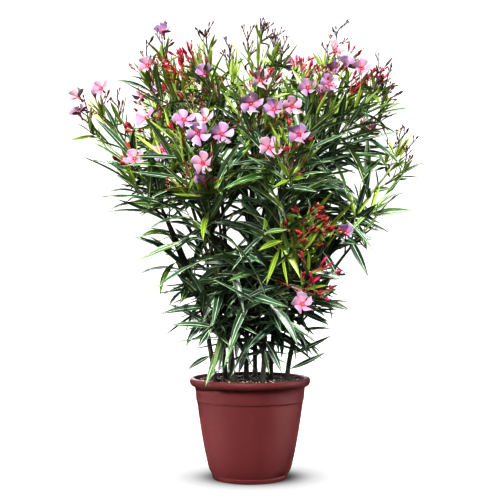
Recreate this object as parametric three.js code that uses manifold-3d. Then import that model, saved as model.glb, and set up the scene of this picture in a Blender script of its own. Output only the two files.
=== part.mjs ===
// A potted oleander: a vase-shaped flowering shrub in a round plastic pot, millimetres, +Z up.
// The origin is the middle of the pot's underside. +X is to the right and +Y to the back.
// Directions round the pot are in degrees: 0 right, 90 back, 180 left, 270 front.
import * as THREE from 'three';
import { mergeVertices } from 'three/addons/utils/BufferGeometryUtils.js';
import loadManifold from 'manifold-3d';

const wasm = await loadManifold();
wasm.setup();

// Pot: a tapering wall with a foot, a stepped collar and a wide lip
const POT_HEIGHT = 203;
const POT_SIDES = 28;
const WALL = 2.5;
const FLOOR = 4;
const FOOT_RADIUS = 75;
const FOOT_HEIGHT = 11;
const FOOT_GROOVE = 1;
const WALL_START_HEIGHT = 14;
const WALL_START_RADIUS = 76;
const STEP_HEIGHT = 156;
const STEP_RADIUS = 104;
const STEP_RISE = 7;
const WALL_STEPS = 5;
const CAVITY_STEPS = 3;
const WALL_CURVE = 0.62;
const WALL_CROWDING = 1.4;
const COLLAR_RADIUS = 108.5;
const COLLAR_TOP_RADIUS = 110.5;
const LIP_RADIUS = 120.5;
const LIP_DEPTH = 16;
const LIP_ROUND = 2;
const DRAIN_COUNT = 4;
const DRAIN_SIDES = 10;
const DRAIN_RADIUS = 6;
const DRAIN_RING = 46;

// Compost: level where the stems stand and lower round the edge
const SOIL_LEVEL = 193;
const SOIL_EDGE_LEVEL = 188;
const SOIL_FLAT_RADIUS = 88;
const POT_CLEARANCE = 0.5;

// Clearance between pieces that meet
const JOINT_GAP = 0.3;

// Stems and boughs
const STEM_SIDES = 6;
const STEM_STEPS = 7;
const STEM_BASE_RADIUS = 6.2;
const STEM_TIP_RADIUS = 3.6;
const STEM_SHARE = 0.6;
const STEM_FLARE = 1.35;
const FLARE_SHARE = 0.05;
const BOUGH_SIDES = 6;
const BOUGH_STEPS = 3;
const BOUGH_BASE_RADIUS = 3.9;
const BOUGH_TIP_RADIUS = 3.1;
const BOUGH_SHARE = 0.45;

// How a route leaves its start and nears its tip: shares of its way out and of its way up
const STEM_LEAVES = { out: 0.07, up: 0.38 };
const SIDE_LEAVES = { out: 0.32, up: 0.2 };
const NEARS_TIP = { out: 0.52, up: 0.72 };

// Twigs inside a mass of leaves
const TWIG_SIDES = 3;
const TWIG_STEPS = 3;
const TWIG_TIP_RADIUS = 2.5;
const SIDE_TWIG_RADIUS = 3;
const SIDE_TWIG_STEPS = 2;
const SIDE_TWIG_PLACES = [0.2, 0.48];
const SIDE_TWIG_SHARE = 0.62;
const SIDE_TWIG_LEAST = 23;
const SIDE_TWIG_SPREAD = 38;
const SIDE_TWIG_JITTER = 0.3;
const SIDE_TWIG_TURN = 137.5;
const SIDE_TWIG_LIFT = 0.35;
const MASS_TURN = 67;
const FIRST_SEED = 1000;

// Leaves: narrow blades in whorls of three, keeled below
const WHORL_LEAVES = 3;
const WHORL_SPACING = 58;
const RING_WHORL_SPACING = 40;
const FIRST_WHORL = 0.14;
const LAST_WHORL = 0.97;
const LEAF_LENGTH = 142;
const YOUNG_LEAF_SHARE = 0.58;
const LEAF_SIZE_JITTER = 0.24;
const LEAF_WIDTH = 29;
const LEAF_WIDTH_FOLLOWS = 0.3;
const LEAF_KEEL = 3.6;
const LEAF_ROOT_SUNK = 1.2;
const LEAF_STAGGER = 8;
const LEAF_WIDEST = 0.36;
const LEAF_ARCH = 0.05;
const OLD_LEAF_SPREAD = 66;
const YOUNG_LEAF_SPREAD = 27;
const LEAF_JITTER = 26;
const LEAF_ROLL = 100;
const LEAF_TURN_JITTER = 36;
const LEAF_TRIES = [[1, 1], [0.8, 0.95], [0.62, 0.88], [1.2, 0.85], [0.45, 0.72]];
const TURN_TRIES = [0, 32, -32, 60];
const LOW_LEAF_HEIGHT = 560;
const LOW_LEAF_DROOP = 0.8;

// Clearances that keep each mass of leaves to its own space
const SPACE_MARGIN = 3;
const LIMB_MARGIN = 1;
const RIM_MARGIN = 6;
const LEAF_BASE_SAMPLES = 3;
const LEAF_BLADE_SAMPLES = 4;
const TWIG_SAMPLES = 3;

// Blossom: five-petalled flowers and pointed buds in a truss on a twig's end
const PETALS = 5;
const FLOWER_RADIUS = 22;
const PETAL_NOTCH_RADIUS = 10;
const FLOWER_DEPTH = 30;
const FLOWER_DISH = 7;
const PETAL_TIP_LIFT = 1;
const FLOWER_SPREAD = 56;
const BUD_SIDES = 3;
const BUD_LENGTH = 30;
const BUD_WIDEST = 0.45;
const BUD_WIDTH = 8;
const BUD_SPREAD = 30;
const TRUSS_STAGGER = 5;
const TRUSS_SUNK = 3;

// The nine stems: where each leading shoot's tip stands and where its foot is,
// with the flowers and buds that its trusses carry
const STEMS = [
  { name: 'far_left', turn: 183, reach: 290, top: 722, footTurn: 184, foot: 72, flowers: 3, buds: 3 },
  { name: 'left_top', turn: 168, reach: 180, top: 824, footTurn: 150, foot: 58, flowers: 2, buds: 4 },
  { name: 'inner_left', turn: 196, reach: 94, top: 846, footTurn: 205, foot: 40, flowers: 1, buds: 5 },
  { name: 'centre_top', turn: 55, reach: 36, top: 886, footTurn: 110, foot: 22, flowers: 0, buds: 5 },
  { name: 'right_top', turn: 6, reach: 172, top: 832, footTurn: 12, foot: 42, flowers: 3, buds: 4 },
  { name: 'far_right', turn: 358, reach: 300, top: 640, footTurn: 352, foot: 74, flowers: 0, buds: 5 },
  { name: 'front_left', turn: 232, reach: 205, top: 668, footTurn: 236, foot: 58, flowers: 3, buds: 3 },
  { name: 'front_right', turn: 292, reach: 196, top: 652, footTurn: 300, foot: 52, flowers: 2, buds: 3 },
  { name: 'back', turn: 88, reach: 222, top: 775, footTurn: 80, foot: 60, flowers: 2, buds: 3 },
];

// The boughs: the stem that carries each, how far up it leaves, and its shoot's tip
const BOUGHS = [
  { name: 'left_front', on: 'far_left', from: 0.6, turn: 206, reach: 240, top: 622, flowers: 2, buds: 2 },
  { name: 'left_back', on: 'left_top', from: 0.55, turn: 138, reach: 272, top: 752, flowers: 2, buds: 3 },
  { name: 'low_centre', on: 'inner_left', from: 0.42, turn: 250, reach: 205, top: 585, flowers: 2, buds: 2 },
  { name: 'high_front', on: 'centre_top', from: 0.55, turn: 278, reach: 142, top: 738, flowers: 2, buds: 3 },
  { name: 'inner_right', on: 'right_top', from: 0.62, turn: 322, reach: 150, top: 745, flowers: 3, buds: 3 },
  { name: 'far_right_top', on: 'right_top', from: 0.8, turn: 8, reach: 242, top: 764, flowers: 0, buds: 5 },
  { name: 'right_back', on: 'back', from: 0.5, turn: 44, reach: 262, top: 742, flowers: 1, buds: 3 },
  { name: 'right_low', on: 'far_right', from: 0.55, turn: 341, reach: 252, top: 500, flowers: 0, buds: 0 },
  { name: 'low_truss', on: 'front_right', from: 0.54, turn: 304, reach: 228, top: 440, flowers: 2, buds: 5 },
  { name: 'back_left_top', on: 'centre_top', from: 0.75, turn: 128, reach: 146, top: 822, flowers: 1, buds: 4 },
  { name: 'back_right_top', on: 'back', from: 0.72, turn: 54, reach: 164, top: 815, flowers: 1, buds: 4 },
];

// Leafy shoots straight off the stems: a low ring above the rim, one half way up and one inside
const RINGS = [
  { label: 'low', count: 6, firstTurn: 214, leaves: 0.2, leavesStep: 0.05, reach: 122, top: 372 },
  { label: 'middle', count: 6, firstTurn: 172, leaves: 0.5, leavesStep: 0.08, reach: 182, top: 520 },
  { label: 'inner', count: 5, firstTurn: 250, leaves: 0.36, leavesStep: 0.04, reach: 74, top: 478 },
];
const RING_WAVE = 3;
const RING_REACH_STEP = 16;
const RING_TOP_STEP = 34;
const WAY_LIFT = 0.01;

// Colours
const POT_COLOUR = 0x6e3030;
const SOIL_COLOUR = 0x3a2b20;
const BARK_COLOUR = 0x4a4a38;
const LEAF_COLOUR = 0x3f5f34;

const plastic = { color: POT_COLOUR, roughness: 0.5, metalness: 0 };
const compost = { color: SOIL_COLOUR, roughness: 0.95, metalness: 0 };
const bark = { color: BARK_COLOUR, roughness: 0.8, metalness: 0 };
const foliage = { color: LEAF_COLOUR, roughness: 0.5, metalness: 0, flatShading: true };

// Seeded numbers from 0 up to 1, the same every time
function seededNumbers(seed) {
  let state = seed >>> 0;
  return () => {
    state = (state + 0x6d2b79f5) >>> 0;
    let mixed = Math.imul(state ^ (state >>> 15), state | 1);
    mixed = (mixed + Math.imul(mixed ^ (mixed >>> 7), mixed | 61)) ^ mixed;
    return ((mixed ^ (mixed >>> 14)) >>> 0) / 2 ** 32;
  };
}

function roundThePot(turn, reach, height) {
  const angle = THREE.MathUtils.degToRad(turn);
  return new THREE.Vector3(reach * Math.cos(angle), reach * Math.sin(angle), height);
}

// A direction square to an axis, turned round it by some degrees
function sideways(axis, turn) {
  const side = new THREE.Vector3(1, 0, 0).addScaledVector(axis, -axis.x).normalize();
  return side.applyAxisAngle(axis, THREE.MathUtils.degToRad(turn));
}

// A direction that leans from an axis to one side by some degrees
function leaning(axis, side, degrees) {
  const angle = THREE.MathUtils.degToRad(degrees);
  return axis.clone().multiplyScalar(Math.cos(angle)).addScaledVector(side, Math.sin(angle));
}

// A size's share of its usual value, for a number from 0 up to 1
function varied(number, jitter) {
  return 1 + (number - 0.5) * jitter;
}

function solidOf(geometry) {
  const weld = 1e-4;
  const bare = geometry.clone();
  bare.deleteAttribute('normal');
  bare.deleteAttribute('uv');
  const merged = mergeVertices(bare, weld);
  return new wasm.Manifold(new wasm.Mesh({
    numProp: 3,
    vertProperties: new Float32Array(merged.attributes.position.array),
    triVerts: new Uint32Array(merged.index.array),
  }));
}

function geometryOf(solid) {
  const mesh = solid.getMesh();
  const geometry = new THREE.BufferGeometry();
  geometry.setAttribute('position', new THREE.BufferAttribute(new Float32Array(mesh.vertProperties), 3));
  geometry.setIndex(new THREE.BufferAttribute(new Uint32Array(mesh.triVerts), 1));
  geometry.computeVertexNormals();
  return geometry;
}

// The largest body of a joined solid, so that no loose scrap and no sealed hollow stays
function largestBody(solid) {
  const finest = 0.02;
  const bodies = solidOf(geometryOf(solid.simplify(finest))).decompose();
  bodies.sort((a, b) => b.volume() - a.volume());
  return bodies[0];
}

function geometryFrom(points, triangles) {
  const geometry = new THREE.BufferGeometry();
  const positions = points.flatMap((point) => [point.x, point.y, point.z]);
  geometry.setAttribute('position', new THREE.Float32BufferAttribute(positions, 3));
  geometry.setIndex(triangles.flat());
  return geometry;
}

function addPiece(group, name, geometry, finish) {
  const piece = new THREE.Mesh(geometry, new THREE.MeshStandardMaterial(finish));
  piece.name = name;
  group.add(piece);
}

// Pot

function potWallRadius(height) {
  const share = (height - WALL_START_HEIGHT) / (STEP_HEIGHT - WALL_START_HEIGHT);
  return WALL_START_RADIUS + (STEP_RADIUS - WALL_START_RADIUS) * Math.max(share, 0) ** WALL_CURVE;
}

function collarRadius(height) {
  const share = (height - STEP_HEIGHT - STEP_RISE) / (POT_HEIGHT - STEP_HEIGHT - STEP_RISE);
  return THREE.MathUtils.lerp(COLLAR_RADIUS, COLLAR_TOP_RADIUS, share);
}

// The wall's line from foot to step, moved in by an inset, as points from low to high
function wallLine(inset, steps) {
  const points = [];
  for (let step = 0; step <= steps; step += 1) {
    const height = THREE.MathUtils.lerp(WALL_START_HEIGHT, STEP_HEIGHT, (step / steps) ** WALL_CROWDING);
    points.push(new THREE.Vector2(potWallRadius(height) - inset, height));
  }
  return points;
}

// The cavity's line from the floor's edge to a level in the collar
function cavityLine(inset, bottom, level) {
  const points = [new THREE.Vector2(FOOT_RADIUS - FOOT_GROOVE - inset, bottom)];
  points.push(...wallLine(inset, CAVITY_STEPS).slice(1));
  for (const height of [STEP_HEIGHT + STEP_RISE, level]) {
    points.push(new THREE.Vector2(collarRadius(height) - inset, height));
  }
  return points;
}

function makePot() {
  const lipBottom = POT_HEIGHT - LIP_DEPTH;
  const profile = [
    new THREE.Vector2(0, 0),
    new THREE.Vector2(FOOT_RADIUS - LIP_ROUND, 0),
    new THREE.Vector2(FOOT_RADIUS, LIP_ROUND),
    new THREE.Vector2(FOOT_RADIUS, FOOT_HEIGHT - FOOT_GROOVE),
    new THREE.Vector2(FOOT_RADIUS - FOOT_GROOVE, FOOT_HEIGHT),
    ...wallLine(0, WALL_STEPS),
    new THREE.Vector2(COLLAR_RADIUS, STEP_HEIGHT + STEP_RISE),
    new THREE.Vector2(collarRadius(lipBottom), lipBottom),
    new THREE.Vector2(LIP_RADIUS - LIP_ROUND, lipBottom),
    new THREE.Vector2(LIP_RADIUS, lipBottom + LIP_ROUND),
    new THREE.Vector2(LIP_RADIUS, POT_HEIGHT - 2 * LIP_ROUND),
    new THREE.Vector2(LIP_RADIUS - 2 * LIP_ROUND, POT_HEIGHT),
    new THREE.Vector2(COLLAR_TOP_RADIUS + LIP_ROUND, POT_HEIGHT),
    ...cavityLine(WALL, FLOOR, POT_HEIGHT - LIP_ROUND).reverse(),
    new THREE.Vector2(0, FLOOR),
  ];
  let pot = solidOf(new THREE.LatheGeometry(profile, POT_SIDES).rotateX(Math.PI / 2));
  for (let drain = 0; drain < DRAIN_COUNT; drain += 1) {
    const hole = new THREE.CylinderGeometry(DRAIN_RADIUS, DRAIN_RADIUS, 4 * FLOOR, DRAIN_SIDES);
    hole.rotateX(Math.PI / 2);
    const centre = roundThePot((360 / DRAIN_COUNT) * drain, DRAIN_RING, 0);
    hole.translate(centre.x, centre.y, centre.z);
    pot = pot.subtract(solidOf(hole));
  }
  return geometryOf(largestBody(pot));
}

function makeSoil() {
  const profile = [
    new THREE.Vector2(0, FLOOR + JOINT_GAP),
    ...cavityLine(WALL + POT_CLEARANCE, FLOOR + JOINT_GAP, SOIL_EDGE_LEVEL),
    new THREE.Vector2(SOIL_FLAT_RADIUS, SOIL_LEVEL),
    new THREE.Vector2(0, SOIL_LEVEL),
  ];
  return geometryOf(solidOf(new THREE.LatheGeometry(profile, POT_SIDES).rotateX(Math.PI / 2)));
}

// Limbs

// A tapering limb along points, with flat ends square to its route
function makeLimb(points, radii, sides) {
  const corners = [];
  const triangles = [];
  const tangents = points.map((point, i) => {
    const after = points[Math.min(i + 1, points.length - 1)];
    return after.clone().sub(points[Math.max(i - 1, 0)]).normalize();
  });
  let across = new THREE.Vector3(1, 0, 0);
  for (let i = 0; i < points.length; i += 1) {
    across = across.clone().addScaledVector(tangents[i], -across.dot(tangents[i])).normalize();
    const along = tangents[i].clone().cross(across);
    for (let side = 0; side < sides; side += 1) {
      const angle = (2 * Math.PI * side) / sides;
      const corner = points[i].clone().addScaledVector(across, radii[i] * Math.cos(angle));
      corners.push(corner.addScaledVector(along, radii[i] * Math.sin(angle)));
    }
  }
  const last = corners.length - sides;
  for (let side = 0; side < sides; side += 1) {
    const next = (side + 1) % sides;
    for (let ring = 0; ring < last; ring += sides) {
      triangles.push([ring + side, ring + next, ring + sides + next]);
      triangles.push([ring + side, ring + sides + next, ring + sides + side]);
    }
    if (side > 0 && side < sides - 1) {
      triangles.push([0, next, side]);
      triangles.push([last, last + side, last + next]);
    }
  }
  return geometryFrom(corners, triangles);
}

// A shoot's whole route: a stem rises first and then leans out, a side shoot leaves at an angle
function shootRoute(start, tip, leaves) {
  const way = tip.clone().sub(start);
  const partWay = ({ out, up }) => new THREE.Vector3(way.x * out, way.y * out, way.z * up).add(start);
  return new THREE.CubicBezierCurve3(start, partWay(leaves), partWay(NEARS_TIP), tip);
}

// Points along a stretch of a route
function stretch(route, from, to, steps) {
  const points = [];
  for (let step = 0; step <= steps; step += 1) {
    points.push(route.getPoint(THREE.MathUtils.lerp(from, to, step / steps)));
  }
  return points;
}

function taper(from, to, steps) {
  const radii = [];
  for (let step = 0; step <= steps; step += 1) {
    radii.push(THREE.MathUtils.lerp(from, to, step / steps));
  }
  return radii;
}

function limbGeometry(limb, grown) {
  return makeLimb(limb.points, limb.radii.map((radius) => radius + grown), limb.sides);
}

// A limb that grows from another's side starts on its axis and is cut clear of its bark
function cutClear(geometry, parent) {
  return largestBody(solidOf(geometry).subtract(solidOf(limbGeometry(parent, JOINT_GAP))));
}

// A stem stands on the compost with a level cut and a flare
function growStem(row) {
  const foot = roundThePot(row.footTurn, row.foot, SOIL_LEVEL + JOINT_GAP);
  const route = shootRoute(foot, roundThePot(row.turn, row.reach, row.top), STEM_LEAVES);
  const points = stretch(route, 0, STEM_SHARE, STEM_STEPS);
  const radii = taper(STEM_BASE_RADIUS, STEM_TIP_RADIUS, STEM_STEPS);
  const flareTop = route.getPoint(FLARE_SHARE * STEM_SHARE);
  points.splice(0, 1, foot, new THREE.Vector3(foot.x, foot.y, flareTop.z));
  radii.splice(0, 1, STEM_BASE_RADIUS * STEM_FLARE, STEM_BASE_RADIUS);
  return { name: `stem_${row.name}`, route, share: STEM_SHARE, points, radii, sides: STEM_SIDES };
}

function growBough(row, stem) {
  const start = stem.route.getPoint(row.from * STEM_SHARE);
  const route = shootRoute(start, roundThePot(row.turn, row.reach, row.top), SIDE_LEAVES);
  const points = stretch(route, 0, BOUGH_SHARE, BOUGH_STEPS);
  const radii = taper(BOUGH_BASE_RADIUS, BOUGH_TIP_RADIUS, BOUGH_STEPS);
  const name = `bough_${row.name}`;
  return { name, route, share: BOUGH_SHARE, points, radii, sides: BOUGH_SIDES, on: stem };
}

// Masses of leaves

// A mass that carries on from a limb's tip, along the rest of the limb's route
function massAtTip(row, limb) {
  const tip = limb.points[limb.points.length - 1];
  const along = limb.route.getTangent(limb.share);
  const points = stretch(limb.route, limb.share, 1, TWIG_STEPS);
  points[0] = tip.clone().addScaledVector(along, JOINT_GAP);
  const radius = limb.radii[limb.radii.length - 1];
  const { flowers, buds } = row;
  return { name: `leaves_${row.name}`, points, radius, spacing: WHORL_SPACING, flowers, buds };
}

// Distance from a point to a line of points
function distanceToLine(point, line) {
  const nearest = new THREE.Vector3();
  let best = Infinity;
  for (let i = 1; i < line.length; i += 1) {
    new THREE.Line3(line[i - 1], line[i]).closestPointToPoint(point, true, nearest);
    best = Math.min(best, nearest.distanceTo(point));
  }
  return best;
}

// Points spread over a leaf or along a twig, close enough to test what it meets
function samplesBetween(from, to, count) {
  const samples = [];
  for (let i = 1; i <= count; i += 1) {
    samples.push(from.clone().lerp(to, i / count));
  }
  return samples;
}

function keepsToSpace(samples, mass, masses) {
  return samples.every((sample) => {
    const own = distanceToLine(sample, mass.points) + SPACE_MARGIN;
    return masses.every((other) => other === mass || distanceToLine(sample, other.points) > own);
  });
}

// Whether a solid runs through any of some others
function crossesAny(solid, others) {
  return others.some((other) => !other.intersect(solid).isEmpty());
}

// The points of a shoot from the lowest place on its stem that keeps it clear of the other limbs
function clearWay(stem, lowest, tip, limbs) {
  const others = limbs.filter((limb) => limb !== stem).map((limb) => limb.room);
  for (let share = lowest; share < STEM_SHARE; share += WAY_LIFT) {
    const route = shootRoute(stem.route.getPoint(share), tip, SIDE_LEAVES);
    const points = stretch(route, 0, 1, TWIG_STEPS);
    const twig = makeLimb(points, taper(SIDE_TWIG_RADIUS, SIDE_TWIG_RADIUS, TWIG_STEPS), TWIG_SIDES);
    if (!crossesAny(solidOf(twig), others)) return points;
  }
  throw new Error(`no clear way from ${stem.name}`);
}

// A ring of leafy shoots, each from the side of the stem that stands nearest to its direction
function massesInRing(ring, stems, limbs) {
  const free = [...stems];
  const masses = [];
  for (let i = 0; i < ring.count; i += 1) {
    const turn = ring.firstTurn + (360 / ring.count) * i;
    const wave = (i % RING_WAVE) - 1;
    const tip = roundThePot(turn, ring.reach + wave * RING_REACH_STEP, ring.top + wave * RING_TOP_STEP);
    const lowest = (ring.leaves + ring.leavesStep * (i % RING_WAVE)) * STEM_SHARE;
    const apart = (stem) => stem.route.getPoint(lowest).setZ(tip.z).distanceTo(tip);
    free.sort((a, b) => apart(a) - apart(b));
    const stem = free.shift();
    const points = clearWay(stem, lowest, tip, limbs);
    const name = `leaves_${ring.label}_${i + 1}`;
    masses.push({ name, points, radius: SIDE_TWIG_RADIUS, spacing: RING_WHORL_SPACING, on: stem });
  }
  return masses;
}

// A leaf: a blade from its sunk root to its tip, keeled below where it is widest
function makeLeaf(leaf) {
  const { root, axis, across, over, length, width } = leaf;
  const middle = root.clone().addScaledVector(axis, length * LEAF_WIDEST);
  middle.addScaledVector(over, LEAF_ARCH * length);
  const points = [
    root.clone().addScaledVector(axis, -LEAF_ROOT_SUNK),
    middle.clone().addScaledVector(across, width / 2),
    middle.clone().addScaledVector(across, -width / 2),
    middle.clone().addScaledVector(over, -LEAF_KEEL),
    root.clone().addScaledVector(axis, length),
  ];
  return geometryFrom(points, [[0, 1, 2], [0, 2, 3], [0, 3, 1], [4, 2, 1], [4, 3, 2], [4, 1, 3]]);
}

// The leaf's own directions, from its place on the twig, its side of the twig and its age
function leafPose(twig, share, side, young, spreadBy, lengthBy, draws) {
  const { root, along } = twig.at(share);
  const outward = sideways(along, side + (draws[0] - 0.5) * LEAF_TURN_JITTER);
  const spread = THREE.MathUtils.lerp(OLD_LEAF_SPREAD, YOUNG_LEAF_SPREAD, young);
  const axis = leaning(along, outward, (spread + (draws[1] - 0.5) * LEAF_JITTER) * spreadBy);
  const lowness = THREE.MathUtils.clamp((LOW_LEAF_HEIGHT - root.z) / LOW_LEAF_HEIGHT, 0, 1);
  axis.z -= LOW_LEAF_DROOP * lowness * (1 - young);
  axis.normalize();
  const across = axis.clone().cross(new THREE.Vector3(0, 0, 1)).normalize();
  across.applyAxisAngle(axis, THREE.MathUtils.degToRad((draws[2] - 0.5) * LEAF_ROLL));
  const over = across.clone().cross(axis);
  const grown = THREE.MathUtils.lerp(1, YOUNG_LEAF_SHARE, young);
  const size = grown * varied(draws[3], LEAF_SIZE_JITTER) * lengthBy;
  const width = LEAF_WIDTH * THREE.MathUtils.lerp(1, size, LEAF_WIDTH_FOLLOWS);
  return { root, axis, across, over, length: LEAF_LENGTH * size, width };
}

function leafSamples(leaf) {
  const middle = leaf.root.clone().addScaledVector(leaf.axis, leaf.length * LEAF_WIDEST);
  middle.addScaledVector(leaf.over, leaf.length * LEAF_ARCH);
  const tip = leaf.root.clone().addScaledVector(leaf.axis, leaf.length);
  return [
    ...samplesBetween(leaf.root, middle, LEAF_BASE_SAMPLES),
    ...samplesBetween(middle, tip, LEAF_BLADE_SAMPLES),
    middle.clone().addScaledVector(leaf.across, leaf.width / 2),
    middle.clone().addScaledVector(leaf.across, -leaf.width / 2),
  ];
}

// A twig's points with the place and direction at any share of its length
function makeTwig(points, radii) {
  const route = new THREE.CatmullRomCurve3(points);
  return {
    points,
    radii,
    length: route.getLength(),
    at: (share) => ({ root: route.getPointAt(share), along: route.getTangentAt(share) }),
  };
}

// A side twig: it leaves its twig at an angle and then turns up
function sideTwig(twig, place, turn, random) {
  const { root, along } = twig.at(place);
  const spread = SIDE_TWIG_SPREAD * varied(random(), SIDE_TWIG_JITTER);
  const axis = leaning(along, sideways(along, turn), spread);
  const rest = twig.length * (1 - place) * SIDE_TWIG_SHARE;
  const length = rest * varied(random(), SIDE_TWIG_JITTER) + SIDE_TWIG_LEAST;
  const middle = root.clone().addScaledVector(axis, length / 2);
  axis.z += SIDE_TWIG_LIFT;
  const tip = middle.clone().addScaledVector(axis.normalize(), length / 2);
  return makeTwig([root, middle, tip], taper(SIDE_TWIG_RADIUS, TWIG_TIP_RADIUS, SIDE_TWIG_STEPS));
}

// Two directions square to an axis, right-handed with it
function roundAxis(axis) {
  const across = sideways(axis, 0);
  return { across, over: axis.clone().cross(across) };
}

// The open flower: a shallow star-shaped funnel whose narrow end is sunk in the twig's end
function makeFlower(root, axis) {
  const { across, over } = roundAxis(axis);
  const rim = FLOWER_DEPTH + TRUSS_SUNK;
  const points = [root.clone(), root.clone().addScaledVector(axis, rim - FLOWER_DISH)];
  const triangles = [];
  for (let i = 0; i < 2 * PETALS; i += 1) {
    const angle = (Math.PI * i) / PETALS;
    const radius = i % 2 ? PETAL_NOTCH_RADIUS : FLOWER_RADIUS;
    const point = root.clone().addScaledVector(axis, rim + (i % 2 ? 0 : PETAL_TIP_LIFT));
    point.addScaledVector(across, radius * Math.cos(angle)).addScaledVector(over, radius * Math.sin(angle));
    points.push(point);
    const next = (i + 1) % (2 * PETALS);
    triangles.push([0, next + 2, i + 2], [1, i + 2, next + 2]);
  }
  return geometryFrom(points, triangles);
}

// A pointed bud: a slim spindle
function makeBud(root, axis) {
  const { across, over } = roundAxis(axis);
  const widest = root.clone().addScaledVector(axis, BUD_LENGTH * BUD_WIDEST);
  const points = [root.clone(), root.clone().addScaledVector(axis, BUD_LENGTH)];
  const triangles = [];
  for (let i = 0; i < BUD_SIDES; i += 1) {
    const angle = (2 * Math.PI * i) / BUD_SIDES;
    const point = widest.clone().addScaledVector(across, (BUD_WIDTH / 2) * Math.cos(angle));
    points.push(point.addScaledVector(over, (BUD_WIDTH / 2) * Math.sin(angle)));
    const next = (i + 1) % BUD_SIDES;
    triangles.push([0, next + 2, i + 2], [1, i + 2, next + 2]);
  }
  return geometryFrom(points, triangles);
}

// A truss on a twig's end: flowers lean out to all sides and buds stand between them
function makeTruss(twig, flowers, buds, random) {
  const { root, along } = twig.at(1);
  const startOf = (place) => root.clone().addScaledVector(along, -TRUSS_SUNK - place * TRUSS_STAGGER);
  const pieces = [];
  const firstTurn = random() * 360;
  for (let i = 0; i < flowers; i += 1) {
    const side = sideways(along, firstTurn + (360 / flowers) * i);
    pieces.push(makeFlower(startOf(i + 1), leaning(along, side, FLOWER_SPREAD)));
  }
  for (let i = 0; i < buds; i += 1) {
    const side = sideways(along, firstTurn + 180 + (360 / buds) * i);
    pieces.push(makeBud(startOf(i / buds), leaning(along, side, BUD_SPREAD)));
  }
  return pieces;
}

// One leaf, at the first of its tries that keeps clear of everything, or none
function growLeaf(twig, share, side, young, surroundings, random) {
  const { mass, masses, others } = surroundings;
  const draws = [random(), random(), random(), random()];
  for (const turn of TURN_TRIES) {
    for (const [spreadBy, lengthBy] of LEAF_TRIES) {
      const leaf = leafPose(twig, share, side + turn, young, spreadBy, lengthBy, draws);
      const samples = leafSamples(leaf);
      const high = samples.every((sample) => sample.z > POT_HEIGHT + RIM_MARGIN);
      if (high && keepsToSpace(samples, mass, masses)) {
        const solid = solidOf(makeLeaf(leaf));
        if (!crossesAny(solid, others)) return solid;
      }
    }
  }
  return null;
}

// Leaves along a twig, in whorls that turn by half a leaf's space from one to the next
function leavesOn(twig, surroundings, random) {
  const leaves = [];
  const leafy = twig.length * (LAST_WHORL - FIRST_WHORL);
  const whorls = Math.round(leafy / surroundings.mass.spacing) + 1;
  for (let whorl = 0; whorl < whorls; whorl += 1) {
    const young = whorls > 1 ? whorl / (whorls - 1) : 1;
    for (let i = 0; i < WHORL_LEAVES; i += 1) {
      const stagger = ((WHORL_LEAVES - 1 - i) * LEAF_STAGGER) / twig.length;
      const share = Math.max(THREE.MathUtils.lerp(FIRST_WHORL, LAST_WHORL, young) - stagger, 0);
      const side = (360 / WHORL_LEAVES) * (i + whorl / 2);
      const leaf = growLeaf(twig, share, side, young, surroundings, random);
      if (leaf) {
        leaves.push(leaf);
        surroundings.others.push(leaf);
      }
    }
  }
  return leaves;
}

// One mass of leaves: its stem, side twigs, leaves and trusses joined into a single solid
function growMass(mass, index, masses, limbs) {
  const random = seededNumbers(FIRST_SEED + index);
  const limbRooms = limbs.map((limb) => limb.room);
  const stem = makeTwig(mass.points, taper(mass.radius, TWIG_TIP_RADIUS, TWIG_STEPS));
  const twigs = [stem];
  SIDE_TWIG_PLACES.forEach((place, i) => {
    const twig = sideTwig(stem, place, index * MASS_TURN + i * SIDE_TWIG_TURN, random);
    const [root, middle, tip] = twig.points;
    const lower = samplesBetween(root, middle, TWIG_SAMPLES);
    const samples = [...lower, ...samplesBetween(middle, tip, TWIG_SAMPLES)];
    const solid = solidOf(makeLimb(twig.points, twig.radii, TWIG_SIDES));
    if (keepsToSpace(samples, mass, masses) && !crossesAny(solid, limbRooms)) twigs.push(twig);
  });
  const wood = twigs.map((twig) => solidOf(makeLimb(twig.points, twig.radii, TWIG_SIDES)));
  const grown = mass.buds ? makeTruss(stem, mass.flowers, mass.buds, random).map(solidOf) : [];
  twigs.forEach((twig, i) => {
    const others = [...wood.filter((other) => other !== wood[i]), ...grown, ...limbRooms];
    grown.push(...leavesOn(twig, { mass, masses, others }, random));
  });
  let joined = wasm.Manifold.union([...wood, ...grown]);
  if (mass.on) {
    joined = joined.subtract(solidOf(limbGeometry(mass.on, JOINT_GAP)));
  }
  return geometryOf(largestBody(joined));
}

// The whole plant in its pot
const plant = new THREE.Group();
addPiece(plant, 'pot', makePot(), plastic);
addPiece(plant, 'soil', makeSoil(), compost);

const stems = STEMS.map(growStem);
const boughs = BOUGHS.map((row) => growBough(row, stems.find((stem) => stem.name === `stem_${row.on}`)));
for (const stem of stems) {
  addPiece(plant, stem.name, limbGeometry(stem, 0), bark);
}
for (const bough of boughs) {
  addPiece(plant, bough.name, geometryOf(cutClear(limbGeometry(bough, 0), bough.on)), bark);
}

const limbs = [...stems, ...boughs];
for (const limb of limbs) {
  limb.room = solidOf(limbGeometry(limb, LIMB_MARGIN));
}
const masses = [
  ...STEMS.map((row, i) => massAtTip(row, stems[i])),
  ...BOUGHS.map((row, i) => massAtTip(row, boughs[i])),
  ...RINGS.flatMap((ring) => massesInRing(ring, stems, limbs)),
];
masses.forEach((mass, index) => {
  addPiece(plant, mass.name, growMass(mass, index, masses, limbs), foliage);
});

export default plant;
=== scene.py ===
import math

import bmesh
import bpy
import numpy as np
from mathutils import Matrix, Vector, noise


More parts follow.
